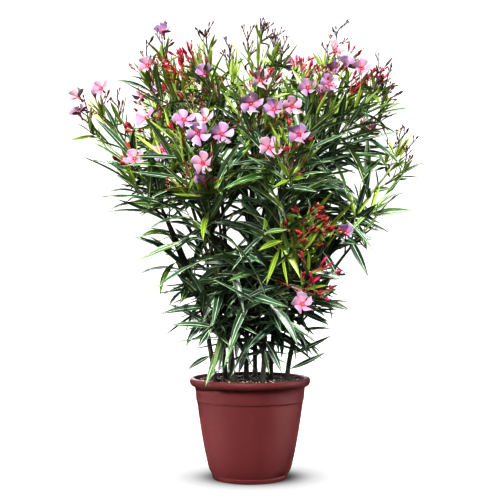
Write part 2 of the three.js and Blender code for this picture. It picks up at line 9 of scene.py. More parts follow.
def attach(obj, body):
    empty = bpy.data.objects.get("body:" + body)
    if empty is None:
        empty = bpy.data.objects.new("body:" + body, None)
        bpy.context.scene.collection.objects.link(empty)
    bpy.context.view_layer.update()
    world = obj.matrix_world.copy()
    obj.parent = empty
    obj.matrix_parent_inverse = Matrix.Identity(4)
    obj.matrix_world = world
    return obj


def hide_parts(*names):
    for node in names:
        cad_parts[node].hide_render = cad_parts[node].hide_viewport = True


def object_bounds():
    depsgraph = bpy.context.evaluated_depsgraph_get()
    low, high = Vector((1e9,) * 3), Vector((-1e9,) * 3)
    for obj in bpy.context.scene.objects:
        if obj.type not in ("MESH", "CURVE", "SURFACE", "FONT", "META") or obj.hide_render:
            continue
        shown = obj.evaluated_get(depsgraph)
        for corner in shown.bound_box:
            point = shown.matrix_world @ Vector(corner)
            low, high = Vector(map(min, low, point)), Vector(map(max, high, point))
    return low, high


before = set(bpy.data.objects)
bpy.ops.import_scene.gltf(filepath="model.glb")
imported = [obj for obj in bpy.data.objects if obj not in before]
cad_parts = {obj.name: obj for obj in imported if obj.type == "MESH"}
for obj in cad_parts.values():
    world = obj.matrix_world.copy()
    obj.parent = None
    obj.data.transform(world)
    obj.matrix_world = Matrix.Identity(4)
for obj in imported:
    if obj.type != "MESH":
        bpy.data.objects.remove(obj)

cad_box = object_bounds()

# Pot: a 24 cm round nursery pot of burgundy polypropylene, moulded in one piece with a short
# foot ring, a stepped collar, a deep rolled lip and four drain holes through its floor.
# All of the plant stands in it, so it comes first.

MM = 0.001
POT_SEGMENTS = 144
# metres; a pair is a radius and a height
POT_FOOT = 0.0735
POT_WALL_START = (0.0765, 0.0120)
POT_STEP = (0.1060, 0.1560)
POT_WALL_CURVE = 0.66
POT_COLLAR = (0.1080, 0.1648)
POT_LIP = 0.1205
POT_LIP_BOTTOM = 0.1868
POT_HEIGHT = 0.2030
POT_MOUTH = 0.1105
POT_WALL = 0.0025
POT_FLOOR = 0.0040
POT_INSIDE_START = 0.0200
DRAIN_RADIUS = 0.0060
DRAIN_RING = 0.0460
DRAIN_COUNT = 4
DRAIN_SIDES = 28
POT_CREASE = 48
# the scale of a finish's broad patches as a share of its grain's
BROAD_SHARE = 0.06


def joined_mesh(name, points, faces, materials, face_finish=None, crease=None):
    """One piece from arrays: faces have four corners each, or three and then -1."""
    points = np.asarray(points, np.float32)
    faces = np.asarray(faces, np.int64)
    counts = np.where(faces[:, 3] >= 0, 4, 3)
    starts = np.concatenate(([0], np.cumsum(counts)[:-1]))
    corners = faces[faces >= 0]
    mesh = bpy.data.meshes.new(name)
    mesh.vertices.add(len(points))
    mesh.vertices.foreach_set("co", points.ravel())
    mesh.loops.add(len(corners))
    mesh.loops.foreach_set("vertex_index", corners.astype(np.int32))
    mesh.polygons.add(len(faces))
    mesh.polygons.foreach_set("loop_start", starts.astype(np.int32))
    for material in materials:
        mesh.materials.append(material)
    if face_finish is not None:
        mesh.polygons.foreach_set("material_index", np.asarray(face_finish, np.int32))
    mesh.polygons.foreach_set("use_smooth", np.ones(len(faces), bool))
    mesh.update(calc_edges=True)
    mesh.validate()
    if crease is not None:
        mesh.set_sharp_from_angle(angle=math.radians(crease))
    piece = bpy.data.objects.new(name, mesh)
    bpy.context.scene.collection.objects.link(piece)
    return piece


def ring_faces(rows, sides):
    """Faces of rows of corners, where the last row joins the first."""
    row, col = np.arange(rows)[:, None], np.arange(sides)[None]
    after_row, after_col = (row + 1) % rows, (col + 1) % sides
    return np.stack([row * sides + col, row * sides + after_col,
                     after_row * sides + after_col, after_row * sides + col], -1).reshape(-1, 4)


def turned(profile, segments):
    """The points of a closed profile turned about the pot's axis."""
    profile = np.asarray(profile, float)
    angles = np.arange(segments) * (2 * math.pi / segments)
    ring = np.stack([np.cos(angles), np.sin(angles)], 1)
    points = np.zeros((len(profile), segments, 3))
    points[:, :, :2] = profile[:, None, 0:1] * ring[None]
    points[:, :, 2] = profile[:, None, 1]
    return points.reshape(-1, 3)


def rounded(corners, steps=5):
    """A profile whose corners, given as radius, height and rounding, are drawn as arcs."""
    line = []
    count = len(corners)
    for i, (x, y, rounding) in enumerate(corners):
        here = np.array([x, y])
        before = np.array(corners[i - 1][:2])
        after = np.array(corners[(i + 1) % count][:2])
        if rounding == 0:
            line.append(here)
            continue
        start = here + (before - here) / np.linalg.norm(before - here) * rounding
        end = here + (after - here) / np.linalg.norm(after - here) * rounding
        for step in range(steps + 1):
            t = step / steps
            line.append((1 - t) ** 2 * start + 2 * t * (1 - t) * here + t * t * end)
    return line


def pot_wall(inset, count, start=POT_WALL_START[1]):
    """The bulging wall's corners from foot to step, moved in by an inset."""
    corners = []
    for height in np.linspace(start, POT_STEP[1], count):
        share = (height - POT_WALL_START[1]) / (POT_STEP[1] - POT_WALL_START[1])
        radius = POT_WALL_START[0] + (POT_STEP[0] - POT_WALL_START[0]) * max(share, 0) ** POT_WALL_CURVE
        corners.append((radius - inset, height, 0))
    return corners


def colour(red, green, blue):
    """An sRGB colour, 0 to 255, as the linear colour that a shader takes."""
    def linear(value):
        value = value / 255
        return value / 12.92 if value <= 0.04045 else ((value + 0.055) / 1.055) ** 2.4
    return (linear(red), linear(green), linear(blue), 1)


def add_node(tree, kind, operation=None, **values):
    """Adds a shader node to a tree, with what it does and values for its named inputs."""
    node = tree.nodes.new("ShaderNode" + kind)
    if operation:
        node.operation = operation
    for name, value in values.items():
        node.inputs[name].default_value = value
    return node


def surface_grain_group():
    """Fine relief and uneven gloss: a Height for a Bump, a Roughness and a mask of broad patches."""
    group = bpy.data.node_groups.new("surface_grain", "ShaderNodeTree")
    for name, value in (("Scale", 400.0), ("Stretch", 1.0), ("Dull", 0.5), ("Uneven", 0.1)):
        socket = group.interface.new_socket(name=name, in_out="INPUT", socket_type="NodeSocketFloat")
        socket.default_value = value
    for name in ("Height", "Roughness", "Patches"):
        group.interface.new_socket(name=name, in_out="OUTPUT", socket_type="NodeSocketFloat")
    given = group.nodes.new("NodeGroupInput")
    result = group.nodes.new("NodeGroupOutput")
    place = add_node(group, "TexCoord")
    tall = add_node(group, "CombineXYZ", X=1, Y=1)
    squeeze = add_node(group, "VectorMath", "MULTIPLY")
    fine = add_node(group, "TexNoise", Detail=3)
    broad = add_node(group, "TexNoise", Detail=4)
    broad_scale = add_node(group, "Math", "MULTIPLY")
    broad_scale.inputs[1].default_value = BROAD_SHARE
    centred = add_node(group, "Math", "SUBTRACT")
    centred.inputs[1].default_value = 0.5
    gloss = add_node(group, "Math", "MULTIPLY_ADD")
    for output, taken in (
        (given.outputs["Stretch"], tall.inputs["Z"]), (place.outputs["Object"], squeeze.inputs[0]),
        (tall.outputs[0], squeeze.inputs[1]), (squeeze.outputs[0], fine.inputs["Vector"]),
        (given.outputs["Scale"], fine.inputs["Scale"]), (fine.outputs["Fac"], result.inputs["Height"]),
        (given.outputs["Scale"], broad_scale.inputs[0]), (squeeze.outputs[0], broad.inputs["Vector"]),
        (broad_scale.outputs[0], broad.inputs["Scale"]), (broad.outputs["Fac"], result.inputs["Patches"]),
        (broad.outputs["Fac"], centred.inputs[0]), (centred.outputs[0], gloss.inputs[0]),
        (given.outputs["Uneven"], gloss.inputs[1]), (given.outputs["Dull"], gloss.inputs[2]),
        (gloss.outputs[0], result.inputs["Roughness"]),
    ):
        group.links.new(output, taken)
    return group


surface_grain = surface_grain_group()


def finish(name, tone, dull, uneven=0.2, scale=1500, depth=0.0002, stretch=1.0, shine=None, patches=None):
    """A material with the grain on it: its colour, how dull, and how uneven that is.

    The grain has a scale, a depth in metres and a stretch along z. Shine is the specular level, and
    patches are two colours with the places on the mask between which one turns into the other.
    """
    material = bpy.data.materials.new(name)
    material.use_nodes = True
    material.diffuse_color = colour(*tone)
    tree = material.node_tree
    shader = tree.nodes["Principled BSDF"]
    shader.inputs["Base Color"].default_value = colour(*tone)
    if shine is not None:
        shader.inputs["Specular IOR Level"].default_value = shine
    grain = add_node(tree, "Group")
    grain.node_tree = surface_grain
    for socket, value in (("Scale", scale), ("Stretch", stretch), ("Dull", dull), ("Uneven", uneven)):
        grain.inputs[socket].default_value = value
    bump = add_node(tree, "Bump", Strength=1, Distance=depth)
    tree.links.new(grain.outputs["Height"], bump.inputs["Height"])
    tree.links.new(bump.outputs["Normal"], shader.inputs["Normal"])
    tree.links.new(grain.outputs["Roughness"], shader.inputs["Roughness"])
    if patches:
        ramp = add_node(tree, "ValToRGB")
        for stop, patch, position in zip(ramp.color_ramp.elements, patches[:2], patches[2:]):
            stop.position = position
            stop.color = colour(*patch)
        tree.links.new(grain.outputs["Patches"], ramp.inputs["Fac"])
        tree.links.new(ramp.outputs["Color"], shader.inputs["Base Color"])
    return material


# the profile, from the middle of the underside round the outside, over the lip and back inside:
# radius, height and rounding
pot_corners = [
    (0.0005, 0.0000, 0), (0.0680, 0.0000, 0.0015), (0.0690, 0.0012, 0), (0.0735, 0.0010, 0.0026),
    (0.0759, 0.0092, 0.0008), (0.0756, 0.0100, 0), (0.0761, 0.0110, 0),
    *pot_wall(0, 18),
    (POT_STEP[0] - 0.0009, POT_STEP[1] + 0.0008, 0), (POT_STEP[0] + 0.0012, POT_STEP[1] + 0.0016, 0.0006),
    (*POT_COLLAR, 0.0022), (0.1100, POT_LIP_BOTTOM - 0.0006, 0.0010), (0.1162, POT_LIP_BOTTOM, 0.0024),
    (POT_LIP, 0.1928, 0.0040), (POT_LIP - 0.0006, POT_HEIGHT, 0.0052), (POT_MOUTH, POT_HEIGHT, 0.0034),
    (POT_MOUTH - POT_WALL, POT_HEIGHT - 0.008, 0.0010),
    (POT_COLLAR[0] - POT_WALL, POT_COLLAR[1], 0.0010),
    *reversed(pot_wall(POT_WALL, 14, POT_INSIDE_START)),
    (POT_FOOT - POT_WALL, POT_FLOOR, 0.0012), (0.0005, POT_FLOOR, 0),
]
pot_profile = rounded(pot_corners)

pot_plastic = finish("burgundy_plastic", (65, 30, 30), 0.54, 0.16, 1400, 0.00008, shine=0.09,
                     patches=((64, 29, 29), (68, 31, 32), 0.32, 0.72))
pot_shell = joined_mesh("pot_shell", turned(pot_profile, POT_SEGMENTS),
                        ring_faces(len(pot_profile), POT_SEGMENTS), [pot_plastic])
for drain in range(DRAIN_COUNT):
    angle = 2 * math.pi * drain / DRAIN_COUNT
    middle = (DRAIN_RING * math.cos(angle), DRAIN_RING * math.sin(angle), POT_FLOOR / 2)
    body = bmesh.new()
    placed = Matrix.Translation(middle) @ Matrix.Rotation(math.pi / DRAIN_SIDES, 4, "Z")
    bmesh.ops.create_cone(body, cap_ends=True, segments=DRAIN_SIDES, depth=POT_FLOOR * 3,
                          radius1=DRAIN_RADIUS, radius2=DRAIN_RADIUS, matrix=placed)
    cutter = bpy.data.objects.new("drain_cut", bpy.data.meshes.new("drain_cut"))
    body.to_mesh(cutter.data)
    body.free()
    bpy.context.scene.collection.objects.link(cutter)
    cut = pot_shell.modifiers.new("drain", "BOOLEAN")
    cut.operation = "DIFFERENCE"
    cut.solver = "EXACT"
    cut.object = cutter
    with bpy.context.temp_override(object=pot_shell, active_object=pot_shell):
        bpy.ops.object.modifier_apply(modifier=cut.name)
    bpy.data.objects.remove(cutter)
pot_shell.data.set_sharp_from_angle(angle=math.radians(POT_CREASE))
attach(pot_shell, "root")
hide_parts("pot")

# Compost: dark, moist bark and peat that fills the pot to a finger below the rim, heaped a
# little round the stems, with chips of bark and pale grit pressed into its top.
# It is poured in round the root ball and holds the stems up.

SOIL_LEVEL = 0.1982
SOIL_EDGE_LEVEL = 0.1952
SOIL_EDGE = 0.1072
SOIL_RINGS = 46
SOIL_SEGMENTS = 150
SOIL_CLEAR = 0.0032
# lumps, crumbs and grit: height, how many to a metre, layer of the noise
SOIL_LUMPS = [(0.0016, 60, 3.1), (0.0014, 210, 7.7), (0.0008, 520, 1.3)]


def soil_height(x, y):
    """The compost's level at a place: heaped in the middle, sunk at the edge, lumpy all over."""
    level = SOIL_LEVEL + (SOIL_EDGE_LEVEL - SOIL_LEVEL) * (math.hypot(x, y) / SOIL_EDGE) ** 3
    for height, scale, layer in SOIL_LUMPS:
        level += height * noise.noise(Vector((x * scale, y * scale, layer)))
    return level


soil_rings = [(SOIL_EDGE * (ring + 0.2) / (SOIL_RINGS - 0.8), None) for ring in range(SOIL_RINGS)]
soil_rings.append((SOIL_EDGE - 0.0012, 0.1760))
soil_rings.extend((radius, height) for radius, height, _ in
                  reversed(pot_wall(SOIL_CLEAR, 5, POT_INSIDE_START)))
soil_rings.extend([(POT_FOOT - SOIL_CLEAR - 0.001, POT_FLOOR + 0.0003), (0.001, POT_FLOOR + 0.0003)])
soil_points = []
for radius, height in soil_rings:
    for side in range(SOIL_SEGMENTS):
        angle = 2 * math.pi * side / SOIL_SEGMENTS
        x, y = radius * math.cos(angle), radius * math.sin(angle)
        soil_points.append((x, y, soil_height(x, y) if height is None else height))
soil_faces = ring_faces(len(soil_rings), SOIL_SEGMENTS)[:, [0, 3, 2, 1]]

moist_compost = finish("moist_compost", (48, 35, 27), 0.86, 0.3, 900, 0.0009, shine=0.25,
                       patches=((9, 7, 5), (30, 23, 18), 0.38, 0.66))
compost = joined_mesh("compost", soil_points, soil_faces, [moist_compost], crease=60)
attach(compost, "root")
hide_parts("soil")

chip_dice = np.random.default_rng(41)


def chips(name, count, length, flatness, material):
    """Loose chips pressed into the compost: small angular lumps, joined into one piece."""
    body = bmesh.new()
    bmesh.ops.create_icosphere(body, subdivisions=1, radius=1)
    shape = np.array([v.co for v in body.verts])
    corners = np.array([[v.index for v in f.verts] for f in body.faces])
    body.free()
    points, faces = [], []
    for i in range(count):
        radius = (SOIL_EDGE - 0.004) * math.sqrt(chip_dice.random())
        angle = chip_dice.random() * 2 * math.pi
        x, y = radius * math.cos(angle), radius * math.sin(angle)
        long = length * (0.5 + chip_dice.random())
        size = long * np.array([1, 0.55 + 0.3 * chip_dice.random(), flatness])
        lump = shape * (1 + 0.5 * (chip_dice.random(shape.shape) - 0.5)) * size
        turn = chip_dice.random() * math.pi
        tilt = (chip_dice.random() - 0.5) * 0.9
        level, rise = math.cos(tilt), math.sin(tilt)
        ahead, aside = math.cos(turn), math.sin(turn)
        lump = lump @ np.array([[level, 0, rise], [0, 1, 0], [-rise, 0, level]])
        lump = lump @ np.array([[ahead, aside, 0], [-aside, ahead, 0], [0, 0, 1]])
        lump += (x, y, soil_height(x, y) + 0.25 * flatness * length)
        faces.append(corners + i * len(shape))
        points.append(lump)
    faces = np.concatenate(faces)
    faces = np.concatenate([faces, np.full((len(faces), 1), -1)], 1)
    piece = joined_mesh(name, np.concatenate(points), faces, [material], crease=35)
    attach(piece, "root")


# name, how many, length, thickness as a share of it, colour
for name, count, length, flatness, tone in (
    ("bark_chips_dark", 460, 0.0042, 0.45, (24, 18, 14)),
    ("bark_chips_tan", 170, 0.0032, 0.40, (88, 68, 50)),
    ("pale_grit", 300, 0.0017, 0.75, (176, 166, 152)),
):
    chips(name, count, length, flatness, finish(name + "_finish", tone, 0.82, 0.2, 1600, 0.0004))

# Stems: nine thin, dark green-brown canes that rise from the compost and lean out like a vase.
# Their bark is thin and finely ridged, ringed where old whorls of leaves fell, with warts.
# They grew from one root, and each has a slight flare at its foot.

# name, tip's turn, reach and height, foot's turn and reach: degrees and millimetres
STEMS = [
    ("far_left", 183, 290, 722, 184, 72), ("left_top", 168, 180, 824, 150, 58),
    ("inner_left", 196, 94, 846, 205, 40), ("centre_top", 55, 36, 886, 110, 22),
    ("right_top", 6, 172, 832, 12, 42), ("far_right", 358, 300, 640, 352, 74),
    ("front_left", 232, 205, 668, 236, 58), ("front_right", 292, 196, 652, 300, 52),
    ("back", 88, 222, 775, 80, 60),
]
# a cane is bare wood for this share of its route; how far out and up the route's two handles stand;
# radii in millimetres at shares of the wood
STEM_SHARE = 0.6
STEM_LEAVES = (0.07, 0.38)
NEARS_TIP = (0.52, 0.72)
STEM_TAPER = ([0, 0.05, 1], [6.24, 4.8, 3.2])
FOOT_RISE = 0.3
FOOT_DEPTH = 2.5
# the bark's relief as shares of a cane's radius, and a wart to so many millimetres
RIDGE_DEPTH = 0.014
RING_DEPTH = 0.05
SCAR_DEPTH = 0.17
WART_DEPTH = 0.09
WART_SPACING = 7


def round_the_pot(turn, reach, height):
    angle = math.radians(turn)
    return np.array([reach * math.cos(angle), reach * math.sin(angle), height], float)


def shoot_route(start, tip, leaves):
    """A shoot's whole route: a function from a share of it, 0 to 1, to a place in millimetres."""
    way = tip - start
    handles = [start + way * (out, out, up) for out, up in (leaves, NEARS_TIP)]

    def route(t):
        t = np.asarray(t, float)[..., None]
        return ((1 - t) ** 3 * start + 3 * t * (1 - t) ** 2 * handles[0]
                + 3 * t * t * (1 - t) * handles[1] + t ** 3 * tip)
    return route


def frames_along(points):
    """The direction and two square directions at each point of a line, turned as little as possible."""
    along = np.gradient(points, axis=0)
    along /= np.linalg.norm(along, axis=1, keepdims=True)
    across = np.zeros_like(along)
    last = np.array([1.0, 0.0, 0.0])
    for i, direction in enumerate(along):
        last = last - direction * last.dot(direction)
        last /= np.linalg.norm(last)
        across[i] = last
    return along, across, np.cross(along, across)


def closed_faces(rows, sides, other_way=False):
    """Faces of rows of corners, closed at each end on a point after them, and each face's row."""
    row, col = np.arange(rows - 1)[:, None] * sides, np.arange(sides)
    after, last = (col + 1) % sides, (rows - 1) * sides
    end, none = np.full(sides, rows * sides), np.full(sides, -1)
    walls = np.stack([row + col, row + after, row + sides + after, row + sides + col], -1).reshape(-1, 4)
    ends = np.concatenate([np.stack([after, col, end, none], -1),
                           np.stack([last + col, last + after, end + 1, none], -1)])
    if other_way:
        walls, ends = walls[:, [0, 3, 2, 1]], ends[:, [1, 0, 2, 3]]
    place = np.repeat([*range(1, rows), 0, rows], sides)
    return np.concatenate([walls, ends]), place


def tube(points, radii, sides, relief=None):
    """Points and faces of a closed tube along a line; relief is a share of radius by ring and side."""
    points = np.asarray(points, float)
    _, across, over = frames_along(points)
    angles = np.arange(sides) * (2 * math.pi / sides)
    sizes = np.asarray(radii, float)[:, None] * (np.ones((1, sides)) if relief is None else relief)
    rings = points[:, None] + sizes[..., None] * (
        across[:, None] * np.cos(angles)[None, :, None] + over[:, None] * np.sin(angles)[None, :, None])
    everything = np.concatenate([rings.reshape(-1, 3), points[:1], points[-1:]])
    return everything, closed_faces(len(points), sides)[0]


def bark_relief(points, sides, scar_gap, seed):
    """Shares of radius on a cane: fine ridges, rings of leaf scars and warts."""
    draw = np.random.default_rng(seed)
    steps = np.linalg.norm(np.diff(points, axis=0), axis=1)
    way = np.concatenate([[0], np.cumsum(steps)])[:, None]
    turn = (np.arange(sides) * (2 * math.pi / sides))[None]
    relief = np.ones((len(points), sides))
    for wave in range(4):
        relief += RIDGE_DEPTH * np.sin((wave + 3) * turn + draw.random() * 6 + 0.02 * (wave + 1) * way)
    place = scar_gap * (0.4 + 0.4 * draw.random())
    while place < way[-1, 0]:
        first = draw.random() * 2 * math.pi
        relief += RING_DEPTH * np.exp(-((way - place) / 1.6) ** 2)
        for scar in range(3):
            apart = np.angle(np.exp(1j * (turn - first - scar * 2 * math.pi / 3)))
            relief += SCAR_DEPTH * np.exp(-((way - place + 1.5) / 2.2) ** 2 - (apart / 0.42) ** 2)
        place += scar_gap * (0.7 + 0.6 * draw.random())
    for _ in range(int(way[-1, 0] / WART_SPACING)):
        spot = draw.random() * way[-1, 0]
        apart = np.angle(np.exp(1j * (turn - draw.random() * 2 * math.pi)))
        relief += WART_DEPTH * np.exp(-((way - spot) / 1.3) ** 2 - (apart / 0.3) ** 2)
    return relief


cane_bark = finish("cane_bark", (52, 50, 38), 0.66, 0.25, 700, 0.0005, 0.25, shine=0.35,
                   patches=((22, 26, 18), (60, 57, 44), 0.35, 0.72))


def grow_limb(name, node, points, taper, sides, scar_gap, seed):
    """A cane or a bough along its line, with bark on it; taper gives radii at shares of the line."""
    radii = np.interp(np.linspace(0, 1, len(points)), *taper)
    limb_points, limb_faces = tube(points, radii, sides, bark_relief(points, sides, scar_gap, seed))
    limb = joined_mesh(name, limb_points * MM, limb_faces, [cane_bark])
    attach(limb, "root")
    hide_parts(node)


stems = {}
for number, (name, turn, reach, top, foot_turn, foot_reach) in enumerate(STEMS):
    foot = round_the_pot(foot_turn, foot_reach, SOIL_LEVEL / MM + FOOT_RISE)
    route = shoot_route(foot, round_the_pot(turn, reach, top), STEM_LEAVES)
    points = route(np.linspace(0, STEM_SHARE, 150))
    points[0, 2] -= FOOT_DEPTH
    points[1, :2] = points[0, :2]
    grow_limb("cane_" + name, "stem_" + name, points, STEM_TAPER, 18, 34, 300 + number)
    stems[name] = {"route": route, "share": STEM_SHARE, "radius": STEM_TAPER[1][-1],
                   "line": route(np.linspace(0, STEM_SHARE, 60))}

# Boughs: eleven side limbs that leave the canes at an angle and turn up to carry the crown's
# flanks. Each grows from its cane's wood, with a swollen collar at the fork and the canes' bark.
# They are thinner than the canes and end where their leaves begin.

# name, its cane, how far up it leaves, tip's turn, reach and height: degrees and millimetres
BOUGHS = [
    ("left_front", "far_left", 0.6, 206, 240, 622), ("left_back", "left_top", 0.55, 138, 272, 752),
    ("low_centre", "inner_left", 0.42, 250, 205, 585), ("high_front", "centre_top", 0.55, 278, 142, 738),
    ("inner_right", "right_top", 0.62, 322, 150, 745), ("far_right_top", "right_top", 0.8, 8, 242, 764),
    ("right_back", "back", 0.5, 44, 262, 742), ("right_low", "far_right", 0.55, 341, 252, 500),
    ("low_truss", "front_right", 0.54, 304, 228, 440), ("back_left_top", "centre_top", 0.75, 128, 146, 822),
    ("back_right_top", "back", 0.72, 54, 164, 815),
]
BOUGH_SHARE = 0.45
SIDE_LEAVES = (0.32, 0.2)
BOUGH_TAPER = ([0, 0.08, 0.2, 1], [5.6, 4.9, 3.9, 3.1])

boughs = {}
for number, (name, parent, leaves, turn, reach, top) in enumerate(BOUGHS):
    start = stems[parent]["route"](leaves * STEM_SHARE)
    route = shoot_route(start, round_the_pot(turn, reach, top), SIDE_LEAVES)
    points = route(np.linspace(0, BOUGH_SHARE, 70))
    grow_limb("limb_" + name, "bough_" + name, points, BOUGH_TAPER, 14, 30, 400 + number)
    boughs[name] = {"route": route, "share": BOUGH_SHARE, "radius": BOUGH_TAPER[1][-1],
                    "line": route(np.linspace(0, BOUGH_SHARE, 60))}

# Leafy twigs: green shoots that carry on from every cane and bough, rings of shoots straight
# off the canes, side twigs that fork from them, and finer twigs again. They branch by the
# plant's own seeded rule, and taper to a growing tip.

# label, count, first turn, where it leaves, step of that, reach and height: degrees, millimetres
RINGS = [
    ("low", 6, 214, 0.2, 0.05, 122, 372), ("middle", 6, 172, 0.5, 0.08, 182, 520),
    ("inner", 5, 250, 0.36, 0.04, 74, 478),
]
RING_REACH_STEP = 16
RING_TOP_STEP = 34
# side twigs and finer ones: places along the shoot, first turn, spread, share of the shoot's length
# and least length, radius where it starts, share that is brown
TWIG_RANKS = [
    ((0.2, 0.48), 0, 38, 0.62, 23, 2.4, 0.5),
    ((0.08, 0.34, 0.6, 0.74), 68, 34, 0.5, 30, 1.7, 0.3),
]
TWIG_LIFT = 0.35
SHOOT_TURN = 67
GOLDEN_TURN = 137.5
# how near a shoot may pass another limb, and the bits of a random word
LIMB_GAP = 8
WORD = 0xFFFFFFFF
# how far the crown reaches out at each height: millimetres
CROWN_HEIGHTS = [205, 270, 355, 425, 485, 560, 645, 765, 810, 840, 870, 890]
CROWN_REACH = [125, 160, 195, 225, 255, 300, 345, 360, 285, 205, 110, 30]
# sky that the photo shows round the crown and through it, read off one by one: right, up and radius
SKY_GAPS = np.array([
    (-335, 790, 25), (-265, 830, 32), (-245, 755, 25), (-235, 720, 15), (-325, 660, 22), (-300, 600, 32),
    (-265, 505, 35), (-205, 515, 14), (-215, 458, 15), (-200, 422, 12), (-215, 388, 16), (-190, 350, 18),
    (-185, 310, 18), (-140, 240, 16), (-90, 222, 10), (-225, 885, 35), (-130, 905, 32), (-60, 875, 18),
    (-55, 820, 10), (-20, 900, 28), (105, 905, 26), (130, 860, 20), (150, 910, 32), (215, 890, 34),
    (265, 870, 28), (335, 780, 40), (310, 715, 24), (345, 660, 30), (265, 685, 8), (265, 625, 13),
    (280, 600, 10), (310, 590, 14), (310, 560, 15), (275, 515, 14), (310, 505, 20), (270, 462, 22),
    (222, 450, 8), (185, 440, 18), (155, 448, 8), (225, 385, 32), (185, 385, 12), (195, 315, 24),
    (145, 265, 7), (100, 268, 7), (105, 240, 8), (100, 218, 6), (-25, 482, 10), (-10, 470, 7),
    (-26, 543, 8), (-45, 468, 8), (28, 530, 8), (45, 510, 8), (-55, 500, 9), (-55, 542, 7), (-40, 535, 7),
    (-5, 515, 9), (-25, 552, 6), (-112, 525, 8), (-135, 505, 10), (-150, 480, 6), (-85, 462, 10),
    (-130, 452, 9), (-100, 410, 9), (-160, 430, 12), (-160, 400, 12), (-150, 365, 9), (-120, 352, 8),
    (-30, 390, 7), (-100, 325, 6), (-120, 285, 9), (-35, 285, 6), (-75, 265, 8), (-105, 250, 10),
    (15, 240, 6), (28, 240, 5), (48, 275, 6), (18, 320, 5), (220, 600, 9), (245, 592, 8), (128, 820, 8),
    (50, 575, 7),
])
TWIG_INSIDE = 12
# where the photographer's eye stands: how far before the pot's middle, and up
EYE_AWAY = 2560
EYE_UP = 457


def as_seen(points):
    """How far to the right and up points stand in the photo, and how much smaller they look."""
    seen = EYE_AWAY / (EYE_AWAY + points[..., 1])
    return points[..., 0] * seen, (points[..., 2] - EYE_UP) * seen + EYE_UP, seen


def in_a_gap(points):
    """Which points, in millimetres, stand before or behind one of the photo's sky gaps."""
    right, up, _ = as_seen(points[..., None, :])
    return (np.hypot(right - SKY_GAPS[:, 0], up - SKY_GAPS[:, 1]) < SKY_GAPS[:, 2]).any(axis=-1)


def pruned(twig):
    """A twig cut back to where it would leave the crown or cross a gap, or None where little is left."""
    line = twig["line"]
    reach = np.interp(line[:, 2], CROWN_HEIGHTS, CROWN_REACH) - TWIG_INSIDE
    outside = in_a_gap(line) | (np.hypot(line[:, 0], line[:, 1]) > reach)
    outside[:2] = False
    count = int(np.argmax(outside)) if outside.any() else len(line)
    if count < 4:
        return None
    length = twig["length"] * (count - 1) / (len(line) - 1)
    return {**twig, "line": line[:count], "radii": twig["radii"][:count], "length": length}


def seeded_numbers(seed):
    """Numbers from 0 up to 1, the same every time, by the plant's own rule."""
    state = seed
    while True:
        state = (state + 0x6D2B79F5) & WORD
        mixed = ((state ^ (state >> 15)) * (state | 1)) & WORD
        mixed = ((mixed + (((mixed ^ (mixed >> 7)) * (mixed | 61)) & WORD)) & WORD) ^ mixed
        yield (mixed ^ (mixed >> 14)) / 2 ** 32


def unit(vector):
    return vector / np.linalg.norm(vector)


def turned_about(vector, axis, degrees):
    angle = math.radians(degrees)
    return (vector * math.cos(angle) + np.cross(axis, vector) * math.sin(angle)
            + axis * axis.dot(vector) * (1 - math.cos(angle)))


def sideways(axis, degrees):
    """A direction square to an axis, turned round it."""
    return turned_about(unit(np.array([1.0, 0, 0]) - axis * axis[0]), axis, degrees)


def leaning(axis, side, degrees):
    angle = math.radians(degrees)
    return axis * math.cos(angle) + side * math.sin(angle)


def twig_along(points, base, tip, wood):
    """A twig: its line, smoothed to even steps, with radii and the way up its own length."""
    points = np.asarray(points, float)
    steps = np.linalg.norm(np.diff(points, axis=0), axis=1)
    way = np.concatenate([[0], np.cumsum(steps)])
    count = max(5, int(way[-1] / 9) + 2)
    even = np.linspace(0, way[-1], count)
    line = np.stack([np.interp(even, way, points[:, k]) for k in range(3)], 1)
    return {"line": line, "length": way[-1], "radii": np.linspace(base, tip, count), "wood": wood}


def at_share(twig, share):
    """The place and direction at a share of a twig's length."""
    line = twig["line"]
    spot = share * (len(line) - 1)
    i = min(int(spot), len(line) - 2)
    return line[i] + (line[i + 1] - line[i]) * (spot - i), unit(line[i + 1] - line[i])


def side_twig(twig, place, turn, spread_draw, length_draw, spread, share, least, base, wood):
    """A twig that leaves its parent at an angle and then turns up."""
    root, along = at_share(twig, place)
    axis = leaning(along, sideways(along, turn), spread * (0.85 + 0.3 * spread_draw))
    length = twig["length"] * (1 - place) * share * (0.85 + 0.3 * length_draw) + least
    steps = np.linspace(0, 1, 9)
    directions = axis[None] + np.array([0, 0, 1.0])[None] * (TWIG_LIFT * 1.4 * steps[:, None])
    directions /= np.linalg.norm(directions, axis=1, keepdims=True)
    line = root + np.concatenate([[np.zeros(3)], np.cumsum(directions[:-1] * length / 8, axis=0)])
    return twig_along(line, base, 1.0, wood)


def clear_start(cane, lowest, tip):
    """The lowest share of a cane from which a shoot to a tip stays clear of the other limbs."""
    lines = [limb["line"] for limb in limbs.values() if limb is not cane]
    for share in np.arange(lowest, STEM_SHARE, 0.01):
        points = shoot_route(cane["route"](share), tip, SIDE_LEAVES)(np.linspace(0, 1, 30))
        gaps = [np.linalg.norm(points[:, None] - line[None], axis=2).min() for line in lines]
        if min(gaps) > LIMB_GAP:
            return share
    return lowest


